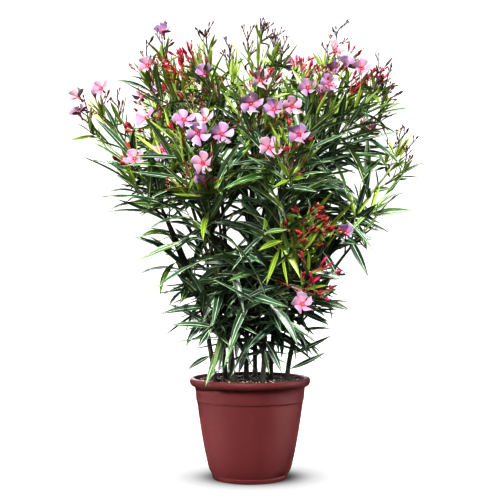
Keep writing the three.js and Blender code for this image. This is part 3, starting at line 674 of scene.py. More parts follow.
limbs = {**stems, **boughs}
shoots = []
for name, limb in limbs.items():
    leader = twig_along(limb["route"](np.linspace(limb["share"], 1, 30)), limb["radius"], 1.5, 0.8)
    shoots.append({"name": name, "leader": leader, "kind": "tip"})
for label, count, first_turn, leaves, leaves_step, reach, top in RINGS:
    free = list(stems.values())
    for i in range(count):
        wave = i % 3 - 1
        tip = round_the_pot(first_turn + 360 / count * i, reach + wave * RING_REACH_STEP,
                            top + wave * RING_TOP_STEP)
        lowest = (leaves + leaves_step * (i % 3)) * STEM_SHARE
        free.sort(key=lambda cane: np.linalg.norm(cane["route"](lowest)[:2] - tip[:2]))
        cane = free.pop(0)
        route = shoot_route(cane["route"](clear_start(cane, lowest, tip)), tip, SIDE_LEAVES)
        leader = twig_along(route(np.linspace(0, 1, 30)), 3.0, 1.4, 0.9)
        shoots.append({"name": f"{label}_{i + 1}", "leader": leader, "kind": label})

twigs = []
for number, shoot in enumerate(shoots):
    draw = seeded_numbers(1000 + number)
    leader = shoot["leader"]
    twigs.append({**leader, "shoot": number, "rank": 0})
    for rank, (places, first_turn, spread, share, least, base, wood) in enumerate(TWIG_RANKS, 1):
        for i, place in enumerate(places):
            turn = number * SHOOT_TURN + first_turn + i * GOLDEN_TURN
            side = side_twig(leader, place, turn, next(draw), next(draw), spread, share, least, base, wood)
            twigs.append({**side, "shoot": number, "rank": rank})
twigs = [kept for kept in (twig if twig["rank"] == 0 else pruned(twig) for twig in twigs) if kept]

green_wood = finish("green_wood", (92, 104, 58), 0.5, scale=900, depth=0.0003)
brown_wood = finish("brown_wood", (62, 60, 42), 0.6, scale=900, depth=0.0004)


class Joined:
    """Gathers like small things into one piece: points, faces and each face's finish by number."""

    def __init__(self):
        self.points, self.faces, self.finishes, self.count = [], [], [], 0

    def add(self, points, faces, number=0):
        faces = np.asarray(faces)
        self.faces.append(np.where(faces >= 0, faces + self.count, -1))
        self.points.append(points)
        self.finishes.append(np.broadcast_to(number, len(faces)))
        self.count += len(points)

    def piece(self, name, materials, slot, crease=None, replaces=()):
        made = joined_mesh(name, np.concatenate(self.points) * MM, np.concatenate(self.faces), materials,
                           np.concatenate(self.finishes), crease)
        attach(made, "root")
        if replaces:
            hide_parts(*replaces)
        return made


twig_wood = Joined()
for twig in twigs:
    points, faces = tube(twig["line"], twig["radii"], 7)
    low = np.minimum(np.arange(len(faces)) // 7, len(twig["line"]) - 1) / len(twig["line"])
    twig_wood.add(points, faces, np.where(low < twig["wood"] * 0.6, 1, 0))
mass_nodes = [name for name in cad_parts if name.startswith("leaves_")]
twig_wood.piece("leafy_twigs", [green_wood, brown_wood], "bark", replaces=mass_nodes)

# Leaves: leathery, narrow and pointed, in whorls of three up every twig and cane. Old leaves
# are long, dark and hang out; young ones near the tips are short, upright and yellow-green.
# Each is a folded blade with margins painted paler as a highlight along its edges, and a pale
# rib that stands proud on both sides.

LEAF_U = np.array([0.03, 0.08, 0.18, 0.32, 0.47, 0.62, 0.77, 0.9])
LEAF_HALF = np.array([0.14, 0.2, 0.56, 0.88, 1.0, 0.9, 0.62, 0.28])
RIB_U = np.array([0.02, 0.15, 0.4, 0.65, 0.86])
RIB_HALF = np.array([1.0, 0.92, 0.72, 0.5, 0.3])
RIB_WIDTH = 2.3
LEAF_SECTION = [(1, 0.32, 0), (0.85, 0.27, 0), (0, 0, 0), (-0.85, 0.27, 0), (-1, 0.32, 0), (0, 0, -0.8)]
# which finish each side of the section has: 0 above, 1 below, 2 along the margins, a painted highlight
LEAF_FINISH = np.array([2, 0, 0, 2, 1, 1])
RIB_SECTION = [(1, 0, 0), (0, 0, 0.5), (-1, 0, 0), (0, 0, -1.2)]


def blades(leaf, stations, half_shares, width, section):
    """Closed blades, bent along their length, all at once.

    A section's corners go round from one edge over the top to the other edge and back below:
    how far to the side and how far up as shares of half the width, then up in millimetres.
    It gives the points, one blade's faces, and each face's side of the section and its row.
    """
    bend = np.where(np.abs(leaf["bend"]) < 1e-3, 1e-3, leaf["bend"])[:, None]
    u = np.concatenate([[0], stations, [1]])[None]
    angle = bend * u
    length = leaf["length"][:, None, None]
    axis, over, across = (leaf[key][:, None] for key in ("axis", "over", "across"))
    run = (np.sin(angle) / bend)[..., None]
    drop = ((1 - np.cos(angle)) / bend)[..., None]
    sweep = leaf["sweep"][:, None, None] * (u * u)[..., None]
    centre = leaf["root"][:, None] + length * (axis * run - over * drop + across * sweep)
    normal = over * np.cos(angle)[..., None] + axis * np.sin(angle)[..., None]
    twist = (leaf["twist"][:, None] * u)[..., None] + np.reshape(leaf.get("roll", 0.0), (-1, 1, 1))
    side = across * np.cos(twist) + normal * np.sin(twist)
    normal = normal * np.cos(twist) - across * np.sin(twist)
    half = width[:, None, None] / 2 * np.concatenate([[0], half_shares, [0]])[None, :, None]
    middle = slice(1, -1)
    ring = np.stack([(centre + side * half * out + normal * (half * lift + up))[:, middle]
                     for out, lift, up in section], 2)
    ends = np.stack([centre[:, 0], centre[:, -1]], 1)
    points = np.concatenate([ring.reshape(len(centre), -1, 3), ends], 1)
    faces, place = closed_faces(len(stations), len(section), other_way=True)
    return points, faces, np.tile(np.arange(len(section)), len(stations) + 1), place


def add_blades(joined, points, faces, numbers):
    """Adds many like things, with the same faces each, to one joined piece."""
    count, corners = points.shape[:2]
    shift = (np.arange(count) * corners)[:, None, None]
    joined.add(points.reshape(-1, 3), np.where(faces[None] >= 0, faces[None] + shift, -1).reshape(-1, 4),
               np.tile(numbers, count))


LEAF_LENGTH = 150
LEAF_WIDTH = 17
WHORL_SPACING = 36
LOW_LEAF_HEIGHT = 560
HIGH_LEAF_HEIGHT = 600
HIGH_FRESH = 0.42
# leaves keep off the ring of the pot's lip below this height, and all stay above the compost
RIM_CLEAR = 205
LIP_RING = (100, 124)
LOWEST_LEAF = 190
REACH_SPREAD = 30
# how far a leaf leans off its twig, how much less when young or high up, and the spread of that
LEAF_LEAN = 62
YOUNG_LEAN = 42
HIGH_LEAN = 18
LEAN_RANGE = 44
# leaves low down sag; by what share they are shorter or longer when young, low, old or high
LEAST_SAG = 0.4
MORE_SAG = 1.6
YOUNG_SHORTER = 0.36
LOW_LONGER = 0.4
OLD_LONGER = 0.2
HIGH_SHORTER = 0.3
TIP_WHORL = 0.93
TIP_SHARE = 0.7
# the last whorl's share of a twig; on canes and boughs the lowest whorl's height and their spacing
LAST_WHORL = 0.98
LOWEST_WHORL = 222
LIMB_SPACING = 27
# for a shoot, its side twigs and the finer ones: the spacing, and the share of leaves that fell
RANK_SPACING = (1.0, 1.0, 1.1)
RANK_SKIP = (0.1, 0.16, 0.24)
FIRST_WHORL = 0.12
YOUNG_FROM = 0.25
STEM_SKIP = 0.36
BOUGH_SKIP = 0.4
SHOOT_AGE = {"tip": 0.0, "low": 0.75, "middle": 0.45, "inner": 0.6}
low_corner, high_corner = (np.array(corner) / MM for corner in cad_box)
FRESH_SHOOTS = {"low_truss": 0.7, "low_centre": 0.25, "left_front": 0.2, "centre_top": 0.2,
                "right_low": 0.25}

leaf_rows = []
leaf_dice = np.random.default_rng(77)


def columns(rows):
    """The named values of many like things, each as one array."""
    return {key: np.array([row[key] for row in rows]) for key in rows[0]}


def picked(things, chosen):
    """The named values of those of many things that are chosen."""
    return {key: values[chosen] for key, values in things.items()}


def how_low(root):
    """1 at the ground, 0 where the low leaves end."""
    return min(max((LOW_LEAF_HEIGHT - root[2]) / LOW_LEAF_HEIGHT, 0), 1)


def whorls(twig, first, spacing, old, young_from, skip, fresh=0.0):
    """Leaves in whorls of three, each turned by half a leaf's space from the one below.

    The first whorl's share of the length, the space between two, the wood's age from 0 to 1, the share
    of the whorls after which young leaves come, the share of leaves that fell, and how light they are.
    """
    count = max(int(round(twig["length"] * (LAST_WHORL - first) / spacing)) + 1, 2)
    first_turn = leaf_dice.random() * 360
    for whorl in range(count):
        climb = whorl / (count - 1)
        share = first + (LAST_WHORL - first) * climb
        young = max(0.0, (climb - young_from) / (1 - young_from)) * (1 - old)
        for i in range(3):
            draws = leaf_dice.random(8)
            if draws[7] < skip:
                continue
            root, along = at_share(twig, min(share + 0.012 * (draws[6] - 0.5), 1))
            out = sideways(along, first_turn + 120 * (i + whorl / 2) + (draws[0] - 0.5) * 40)
            lowness = how_low(root)
            highness = min(max((root[2] - HIGH_LEAF_HEIGHT) / (high_corner[2] - HIGH_LEAF_HEIGHT), 0), 1)
            spread = LEAF_LEAN - YOUNG_LEAN * young - HIGH_LEAN * highness + (draws[1] - 0.5) * LEAN_RANGE
            axis = leaning(along, out, spread)
            axis[2] -= (LEAST_SAG + MORE_SAG * draws[0]) * lowness * (1 - young)
            axis = unit(axis)
            across = unit(np.cross(axis, np.array([0, 0, 1.0])))
            across = turned_about(across, axis, (draws[2] - 0.5) * (80 + 60 * young))
            length_now = LEAF_LENGTH * (1 - YOUNG_SHORTER * young) * (0.74 + 0.42 * draws[3])
            length_now *= 1 + LOW_LONGER * lowness * (1 - young)
            length_now *= (1 + OLD_LONGER * old) * (1 - HIGH_SHORTER * highness)
            if climb > TIP_WHORL and old < 0.5:
                length_now *= TIP_SHARE
            bend = (0.2 + 0.9 * draws[4] + 0.5 * lowness) * (1 - young) - 0.15 * young
            leaf_rows.append(dict(
                root=root, axis=axis, across=across, length=length_now, young=young, bend=bend, tone=draws[5],
                lowness=lowness, fresh=fresh + HIGH_FRESH * highness, lone=0.0, roll=0.0))


for twig in twigs:
    shoot = shoots[twig["shoot"]]
    low = shoot["kind"] == "low"
    spacing = WHORL_SPACING * RANK_SPACING[twig["rank"]] * (0.8 if low else 1.0)
    old = SHOOT_AGE[shoot["kind"]]
    skip = RANK_SKIP[twig["rank"]] + (0.24 if low else 0.42) * old
    whorls(twig, FIRST_WHORL, spacing, old, YOUNG_FROM, skip, FRESH_SHOOTS.get(shoot["name"], 0.0))
for name, limb in limbs.items():
    line = limb["line"]
    first = max((LOWEST_WHORL - line[0, 2]) / (line[-1, 2] - line[0, 2]), 0.06)
    skip = STEM_SKIP if name in stems else BOUGH_SKIP
    whorls(twig_along(line, 1, 1, 1), first, LIMB_SPACING, 1.0, 0.5, skip)

# Leaves that stand out in the photo: foot to the right and up, tip to the right and up, bend, how
# far the blade is rolled towards the front in degrees, width, and its age-and-light number
LONE_LEAVES = [
    (-205, 760, -269, 796, 0.5, 45, 12, 0.1), (-205, 728, -226, 758, 0.3, 60, 11, 0.2),
    (-162, 784, -176, 838, 0.2, 80, 20, 1.25), (-219, 815, -223, 857, 0.1, 70, 9, 0.8),
    (-201, 785, -237, 837, 0.2, 60, 10, 0.6), (-262, 672, -300, 757, 0.2, 80, 12, 0.4),
    (-262, 672, -296, 706, 0.2, 70, 11, 0.9), (-250, 660, -246, 735, 0.1, 80, 10, 0.8),
    (-232, 657, -230, 714, 0.1, 80, 10, 0.6), (-237, 678, -260, 723, 0.1, 80, 11, 0.3),
    (180, 760, 200, 818, 0.2, 80, 14, 1.1), (190, 800, 234, 866, 0.2, 70, 11, 0.7),
    (226, 760, 238, 812, 0.2, 80, 14, 1.1), (256, 724, 326, 740, 0.3, 40, 9, 0.2),
    (180, 640, 284, 690, 0.3, 30, 10, 0.2), (180, 640, 318, 698, 0.2, 25, 9, 0.1),
    (-220, 582, -338, 645, 0.3, 20, 11, 0.3), (-222, 590, -293, 638, 0.4, 30, 10, 0.2),
    (-216, 571, -270, 608, 0.3, 60, 12, 0.3), (-240, 623, -322, 677, 0.2, 40, 11, 0.5),
    (-207, 569, -283, 573, 0.9, 15, 11, 0.1), (-144, 523, -306, 562, 0.7, 25, 15, 0.2),
    (-198, 545, -286, 535, 0.7, 20, 11, 0.1), (-155, 536, -242, 551, 0.5, 75, 17, 0.8),
    (-142, 519, -209, 494, 0.6, 20, 11, 0.2), (-164, 473, -224, 477, 1.5, 50, 12, 0.8),
    (-140, 462, -226, 434, 0.2, 40, 14, 0.6), (-138, 406, -228, 406, 0.8, 15, 13, 0.1),
    (-159, 437, -179, 365, 1.3, 70, 12, 0.9), (-101, 421, -200, 369, 0.3, 25, 13, 0.3),
    (-116, 375, -164, 339, 1.2, 15, 12, 0.1), (298, 596, 352, 633, 0.3, 50, 11, 0.0),
    (302, 610, 325, 634, 0.2, 60, 8, 0.9), (276, 571, 309, 573, 0.5, 30, 7, 0.4),
    (240, 528, 324, 536, 0.2, 80, 16, 0.6), (236, 538, 279, 552, 0.2, 60, 10, 0.5),
    (207, 523, 246, 506, 0.4, 60, 12, 0.1), (205, 509, 283, 488, 0.3, 70, 13, 0.1),
    (185, 489, 250, 475, 0.2, 50, 13, 0.0), (202, 513, 249, 451, 0.3, 30, 9, 0.3),
    (183, 489, 237, 402, 0.15, 80, 16, 0.1), (146, 454, 173, 409, 0.3, 70, 14, 0.1),
    (133, 415, 194, 397, 0.2, 60, 12, 0.1), (210, 558, 208, 593, 0.1, 80, 8, 0.1),
    (228, 563, 228, 591, 0.1, 80, 7, 0.4), (241, 559, 239, 597, 0.1, 80, 8, 0.0),
    (256, 576, 251, 621, 0.1, 70, 9, 0.4), (207, 606, 270, 645, 0.4, 75, 15, 0.3),
    (200, 600, 258, 628, 0.5, 60, 14, 0.6), (71, 453, 32, 385, 0.4, 75, 12, 1.3),
    (71, 453, 76, 382, 0.3, 80, 12, 1.3), (66, 470, 61, 513, 0.3, 70, 11, 1.3),
    (66, 470, 89, 528, 0.3, 70, 11, 1.3), (62, 478, 16, 455, 0.5, 70, 11, 1.0),
    (71, 453, 122, 457, 0.6, 60, 11, 1.1), (71, 453, 100, 400, 0.6, 60, 11, 1.3),
    (84, 546, -89, 539, 0.6, 35, 12, 0.1), (-90, 541, -4, 604, 0.3, 40, 12, 0.7),
    (64, 451, -84, 511, 0.9, 60, 15, 0.3), (56, 474, -34, 516, 0.5, 55, 13, 0.0),
    (47, 441, -95, 430, 0.2, 82, 20, 0.3), (46, 423, -94, 420, 0.3, 25, 13, 0.1),
    (14, 401, -82, 398, 0.5, 20, 13, 0.0), (-100, 521, -78, 485, 0.3, 70, 11, 0.8),
    (80, 500, 60, 560, 0.4, 60, 11, 0.2), (-100, 480, -150, 462, 0.6, 40, 12, 0.1),
    (-96, 500, -168, 512, 0.6, 40, 12, 0.1), (66, 390, -21, 350, 0.5, 40, 13, 0.1),
    (30, 420, 10, 330, 0.5, 70, 14, 0.2), (-30, 400, -96, 308, 0.8, 70, 16, 0.2),
    (20, 400, 80, 310, 0.8, 70, 16, 0.2), (0, 360, -40, 262, 0.6, 75, 16, 0.3),
    (40, 350, 96, 262, 0.8, 65, 15, 0.2), (-70, 330, -128, 262, 0.9, 70, 15, 0.4),
    (-50, 300, -76, 205, 0.7, 75, 14, 0.9), (60, 300, 132, 270, 0.8, 50, 14, 0.3),
    (-240, 632, -314, 724, 0.2, 70, 14, 0.3), (-175, 520, -288, 533, 0.4, 20, 12, 0.1),
    (240, 572, 282, 580, 0.2, 70, 12, 0.3), (140, 598, 200, 576, 0.3, 60, 14, 0.1),
    (180, 645, 232, 604, 0.4, 50, 12, 0.3), (120, 352, 204, 334, 0.4, 70, 16, 0.5),
    (85, 375, 128, 352, 0.4, 60, 13, 0.2), (78, 218, 154, 254, -0.2, 60, 11, 0.1),
    (90, 245, 166, 288, -0.2, 60, 11, 0.1), (96, 470, 112, 524, 0.3, 70, 10, 1.0),
    (112, 474, 146, 512, 0.4, 70, 10, 1.1), (84, 452, 134, 446, 0.4, 60, 10, 1.2),
    (108, 290, 164, 300, 0.2, 40, 9, 0.1), (104, 330, 158, 306, 0.5, 60, 13, 0.3),
    (100, 346, 152, 322, 0.5, 30, 11, 0.1), (-78, 247, -126, 216, 0.3, 40, 12, 0.1),
    (-70, 275, -164, 268, 0.2, 15, 10, 0.5), (-66, 300, -160, 306, 0.4, 60, 13, 0.2),
    (-76, 339, -182, 328, 0.3, 60, 14, 0.3), (-54, 273, -90, 182, 0.3, 60, 15, 0.5),
    (-10, 262, -24, 208, 0.3, 75, 15, 0.1), (50, 262, 20, 208, 0.3, 70, 13, 0.1),
    (-46, 292, -64, 207, 0.4, 75, 14, 0.3), (44, 276, 64, 210, 0.4, 70, 15, 0.1),
    (16, 262, 40, 207, 0.3, 75, 13, 0.2), (-24, 280, -44, 208, 0.4, 75, 13, 0.2),
    (-80, 300, -104, 262, 0.4, 70, 14, 0.1), (96, 300, 116, 246, 0.4, 70, 14, 0.1),
]
# a tip stands this far before its foot, or before the pot's lip; of the wood near a foot's place
# the front is taken first
LONE_FORWARD = 32
LIP_FORWARD = 6
FRONT_WOOD = -160
FRONT_FIRST = 0.2
LONE_SHIFT = 0.0825
HIGH_LIGHT = 0.18
# a leaf that doesn't fit is made shorter and straighter, by one share after the other
SHRINKS = (1, 0.93, 0.92, 0.9, 0.86)
wood_points = np.concatenate([wood["line"] for wood in (*twigs, *limbs.values())])
wood_right, wood_up, _ = as_seen(wood_points)
for right, up, tip_right, tip_up, bend, roll, width, age in LONE_LEAVES:
    gaps = np.hypot(wood_right - right, wood_up - up)
    gaps += np.maximum(wood_points[:, 1], FRONT_WOOD) * FRONT_FIRST
    root = wood_points[np.argmin(gaps)]
    depth = root[1] - LONE_FORWARD if tip_up > RIM_CLEAR else -POT_LIP / MM - LIP_FORWARD
    seen = EYE_AWAY / (EYE_AWAY + depth)
    tip = [tip_right / seen, depth, (tip_up - EYE_UP) / seen + EYE_UP]
    chord = np.clip(tip, low_corner + 4, high_corner - 4) - root
    across = unit(np.cross(chord, np.array([0, 0, 1.0])) + (0, 0.02, 0))
    over = np.cross(across, unit(chord))
    axis = leaning(unit(chord), over, math.degrees(bend / 2))
    length_now = np.linalg.norm(chord) * (bend / 2) / math.sin(bend / 2)
    lowness = how_low(root)
    leaf_rows.append(dict(
        root=root, axis=axis, across=across, length=length_now, young=0.0, bend=bend, tone=0.5,
        lowness=lowness, fresh=age - LONE_SHIFT - HIGH_LIGHT * (1 - lowness), lone=width,
        roll=-math.radians(roll) * np.sign(axis[0])))

leaf = columns(leaf_rows)
leaf["over"] = np.cross(leaf["across"], leaf["axis"])
count = len(leaf_rows)
leaf["twist"] = leaf_dice.random(count) - 0.5
leaf["sweep"] = (leaf_dice.random(count) - 0.5) * 0.16
leaf["width"] = LEAF_WIDTH * (0.5 + 0.5 * leaf["length"] / LEAF_LENGTH)
leaf["width"] *= 0.84 + 0.3 * leaf_dice.random(count)
leaf["width"] *= 1 - 0.4 * leaf["young"]
leaf["width"] *= 1 - 0.25 * np.clip((leaf["root"][:, 2] - HIGH_LEAF_HEIGHT) / 200, 0, 1)
alone = leaf["lone"] > 0
leaf["width"] = np.where(alone, leaf["lone"], leaf["width"])
leaf["twist"] = np.where(alone, 0.2 * leaf["twist"], leaf["twist"])
leaf["sweep"] = np.where(alone, 0, leaf["sweep"])


def keeps_inside(chosen):
    """Whether each leaf stays within the plant's reach, above the pot's rim and out of the sky gaps."""
    points = blades(chosen, LEAF_U, LEAF_HALF, chosen["width"], LEAF_SECTION)[0]
    covering = in_a_gap(points).any(axis=1)
    low = points.min(axis=1)
    high = points.max(axis=1)
    inside = (low[:, 0] > low_corner[0]) & (low[:, 1] > low_corner[1]) & (high < high_corner).all(axis=1)
    out = np.linalg.norm(points[:, :, :2], axis=2)
    touching = ((points[:, :, 2] < RIM_CLEAR) & (out > LIP_RING[0]) & (out < LIP_RING[1])).any(axis=1)
    reach = np.interp(points[:, :, 2], CROWN_HEIGHTS, CROWN_REACH)
    reach += REACH_SPREAD * (chosen["tone"][:, None] - 0.5)
    return inside & ~covering & ~touching & (low[:, 2] > LOWEST_LEAF) & (out < reach).all(axis=1)


for shrink in SHRINKS:
    outside = ~keeps_inside(leaf) & ~alone
    leaf["length"] = np.where(outside, leaf["length"] * shrink, leaf["length"])
    leaf["width"] = np.where(outside, leaf["width"] * shrink ** 0.5, leaf["width"])
    leaf["bend"] = np.where(outside, leaf["bend"] * 0.6, leaf["bend"])
leaf = picked(leaf, keeps_inside(leaf) | alone)

FRESH_RIB = 0.9
# name, colours above, below and along the margin, which is a painted highlight, and where the
# age-and-light number starts
LEAF_TONES = [
    ("deep", (18, 42, 32), (54, 78, 62), (98, 120, 98), -9.0),
    ("dark", (30, 56, 38), (70, 92, 68), (104, 126, 94), 0.16),
    ("mid", (42, 72, 32), (74, 96, 54), (110, 132, 82), 0.44),
    ("fresh", (62, 90, 32), (92, 112, 54), (118, 136, 76), 0.72),
    ("young", (86, 108, 30), (106, 122, 48), (124, 140, 62), 0.98),
    ("lime", (106, 130, 28), (116, 134, 46), (130, 148, 58), 1.2),
]
light = 0.86 * leaf["young"] + 0.55 * (leaf["tone"] - 0.35)
light = light + HIGH_LIGHT * (1 - leaf["lowness"]) + leaf["fresh"]
for number, (tone, upper, under, margin, start) in enumerate(LEAF_TONES):
    end = LEAF_TONES[number + 1][4] if number + 1 < len(LEAF_TONES) else 9
    group = picked(leaf, (light >= start) & (light < end))
    shine = 0.9 if start < FRESH_RIB else 0.5
    # the margin finish is a paler colour painted along each blade's edges as a highlight
    finishes = [finish("leaf_upper_" + tone, upper, 0.33, 0.25, depth=0.00025, shine=shine),
                finish("leaf_under_" + tone, under, 0.58, depth=0.0003),
                finish("leaf_margin_" + tone, margin, 0.5)]
    blades_of_tone = Joined()
    points, faces, below, _ = blades(group, LEAF_U, LEAF_HALF, group["width"], LEAF_SECTION)
    add_blades(blades_of_tone, points, faces, LEAF_FINISH[below])
    blades_of_tone.piece("leaves_" + tone, finishes, "foliage", crease=70)

rib_finishes = [finish("pale_rib", (192, 204, 168), 0.5), finish("fresh_rib", (158, 174, 88), 0.5)]
rib_strips = Joined()
for number, chosen in enumerate((light < FRESH_RIB, light >= FRESH_RIB)):
    group = picked(leaf, chosen)
    rib_width = RIB_WIDTH * (0.75 + 0.25 * group["width"] / LEAF_WIDTH)
    points, faces, below, _ = blades(group, RIB_U, RIB_HALF, rib_width, RIB_SECTION)
    add_blades(rib_strips, points, faces, 0 * below + number)
rib_strips.piece("leaf_ribs", rib_finishes, "foliage")

# Flower stalks: at each shoot's end a branching head of thin stalks grows from the last whorl
# and carries the blossom: a stalk leads to each flower, and forked ones carry the buds.
# They are dull red and green, and darker where only small buds sit on them.

# shoot that carries it, fork's place, flowers' places to the right and up (with how far one that
# is half open has spread its petals, in degrees), large and small buds, and their colour
HEADS = [
    ("far_left", (-290, -20, 722), [(-348, 757, 48), (-292, 774, 70), (-338, 725, 60)], 5, 4, "red"),
    ("far_left", (-256, -10, 708), [], 2, 5, "dark"),
    ("far_left", (-316, -16, 690), [], 0, 7, "dark"),
    ("left_top", (-172, 20, 838), [(-172, 889)], 1, 7, "dark"),
    ("left_top", (-192, 4, 787), [(-202, 821)], 4, 3, "red"),
    ("left_top", (-200, 10, 800), [], 2, 5, "dark"),
    ("left_back", (-202, 182, 752), [(-236, 790), (-196, 800)], 3, 4, "red"),
    ("left_back", (-168, 210, 760), [(-150, 792)], 2, 4, "red"),
    ("inner_left", (-140, -30, 756), [], 10, 2, "crimson"),
    ("inner_left", (-120, -52, 782), [], 14, 3, "crimson"),
    ("inner_left", (-110, -44, 800), [], 9, 3, "crimson"),
    ("inner_left", (-104, -20, 816), [], 5, 5, "crimson"),
    ("left_top", (-158, -10, 800), [], 4, 8, "brown"),
    ("inner_left", (-82, -28, 836), [], 2, 16, "dark"),
    ("inner_left", (-92, -58, 767), [(-86, 797)], 3, 3, "red"),
    ("inner_left", (-40, -20, 806), [], 0, 14, "dark"),
    ("left_front", (-186, -92, 664), [(-196, 709)], 5, 3, "coral"),
    ("left_front", (-212, -104, 606), [(-218, 629), (-166, 645)], 6, 5, "coral"),
    ("front_left", (-122, -165, 650), [(-122, 697), (-95, 672), (-84, 698)], 5, 3, "crimson"),
    ("front_left", (-70, -150, 640), [(-52, 672)], 3, 4, "red"),
    ("low_centre", (-76, -190, 570), [(-86, 615), (-84, 583)], 2, 5, "red"),
    ("low_centre", (-116, -175, 560), [], 0, 16, "brown"),
    ("high_front", (20, -138, 738), [(20, 774), (2, 730)], 5, 5, "crimson"),
    ("high_front", (48, -150, 692), [(45, 718), (78, 724)], 4, 3, "red"),
    ("high_front", (-4, -150, 672), [], 2, 12, "brown"),
    ("high_front", (44, -176, 618), [(36, 645)], 3, 4, "red"),
    ("inner_right", (120, -96, 738), [(110, 764), (138, 752), (150, 772)], 4, 4, "crimson"),
    ("inner_right", (100, -104, 776), [], 6, 4, "crimson"),
    ("front_right", (84, -186, 640), [(90, 668)], 4, 5, "red"),
    ("front_right", (72, -190, 590), [], 0, 14, "brown"),
    ("right_top", (176, 10, 812), [(170, 853), (192, 822), (160, 816)], 6, 4, "crimson"),
    ("right_top", (214, -6, 776), [(220, 814)], 9, 2, "crimson"),
    ("right_top", (170, 20, 848), [], 0, 9, "dark"),
    ("right_top", (190, -20, 752), [], 9, 2, "crimson"),
    ("far_right_top", (242, 20, 774), [], 7, 6, "crimson"),
    ("far_right_top", (266, 24, 752), [], 2, 20, "dark"),
    ("far_right_top", (246, -10, 770), [], 2, 18, "dark"),
    ("far_right_top", (262, 40, 716), [], 0, 14, "dark"),
    ("far_right", (290, -10, 640), [], 0, 12, "dark"),
    ("far_right", (300, -34, 606), [], 0, 8, "dark"),
    ("far_right", (272, 30, 630), [], 0, 5, "dark"),
    ("right_top", (152, 34, 822), [], 0, 8, "dark"),
    ("centre_top", (22, 20, 874), [], 0, 22, "dark"),
    ("centre_top", (-2, 10, 832), [], 0, 16, "dark"),
    ("centre_top", (44, -6, 834), [], 0, 16, "dark"),
    ("centre_top", (58, 14, 814), [], 0, 12, "dark"),
    ("low_truss", (96, -196, 500), [], 8, 5, "coral"),
    ("low_truss", (120, -190, 482), [(174, 488, 42)], 8, 8, "coral"),
    ("low_truss", (80, -200, 458), [], 5, 6, "coral"),
    ("low_truss", (112, -198, 462), [], 6, 6, "coral"),
    ("low_truss", (106, -194, 480), [], 0, 16, "brown"),
    ("low_truss", (106, -194, 408), [], 3, 4, "pink"),
    ("low_6", (98, -176, 380), [(96, 357, 74)], 4, 4, "pink"),
    ("low_6", (122, -164, 372), [], 6, 4, "pink"),
    ("left_front", (-170, -96, 690), [], 2, 14, "brown"),
    ("front_left", (-100, -150, 700), [], 2, 14, "brown"),
    ("inner_left", (-66, -60, 742), [], 2, 14, "brown"),
    ("high_front", (30, -150, 740), [], 3, 10, "brown"),
    ("inner_right", (138, -100, 768), [], 3, 10, "brown"),
    ("back", (8, 222, 775), [(-24, 806), (30, 812), (6, 780)], 6, 5, "crimson"),
    ("back", (-40, 226, 700), [(-46, 734)], 4, 5, "red"),
    ("back", (60, 226, 690), [(74, 722), (44, 716)], 4, 4, "crimson"),
    ("right_back", (188, 182, 742), [(206, 776), (168, 780)], 6, 5, "crimson"),
    ("right_back", (228, 140, 690), [(250, 716)], 3, 6, "red"),
    ("back_left_top", (-90, 115, 822), [(-112, 856)], 5, 8, "crimson"),
    ("back_right_top", (96, 133, 815), [(92, 852), (124, 836)], 5, 6, "crimson"),
    ("middle_5", (-40, 214, 560), [(-44, 592)], 4, 5, "coral"),
    ("low_4", (96, 168, 470), [(104, 498)], 5, 4, "coral"),
]
FLOWER_TUBE = 15
BLOOM_REACH = 27
TRUSS_RISE = 46
TRUSS_HEAVY = 1.6
BARE_STALK = 22
BUD_STEP = 5
BUD_ROOM = {"large": 31, "small": 13}
LOW_HEAD = 400
FULL_OPEN = 78
OPEN_RANGE = 34
head_dice = np.random.default_rng(2024)
STALK_COLOURS = {"red": (132, 62, 54), "coral": (104, 88, 50), "dark": (44, 36, 34), "brown": (104, 80, 56)}
stalk_tones = {"red": 0, "crimson": 0, "pink": 0, "coral": 1, "dark": 2, "brown": 3}
stalks = Joined()
flower_rows, bud_rows, bract_rows = [], [], []


def add_stalk(start, leave, end, base, tip, tone, bow=0.45, count=7, sides=5):
    """A stalk that leaves one way and bends over to its end, from one radius to another."""
    handle = start + unit(leave) * np.linalg.norm(end - start) * bow
    t = np.linspace(0, 1, count)[:, None]
    line = (1 - t) ** 2 * start + 2 * t * (1 - t) * handle + t * t * end
    points, faces = tube(line, np.linspace(base, tip, count), sides)
    stalks.add(points, faces, stalk_tones[tone])
    return line


def nearest_wood(shoot_number, fork):
    """Where a head's stalk leaves its shoot: the nearest place on its twigs that is lower."""
    best, place, along = 1e9, None, None
    for twig in twigs:
        if twig["shoot"] != shoot_number:
            continue
        for share in np.linspace(0.3, 1, 12):
            spot, direction = at_share(twig, share)
            gap = np.linalg.norm(spot - fork) + max(0, spot[2] - fork[2] + 8) * 3
            if gap < best:
                best, place, along = gap, spot, direction
    return place, along


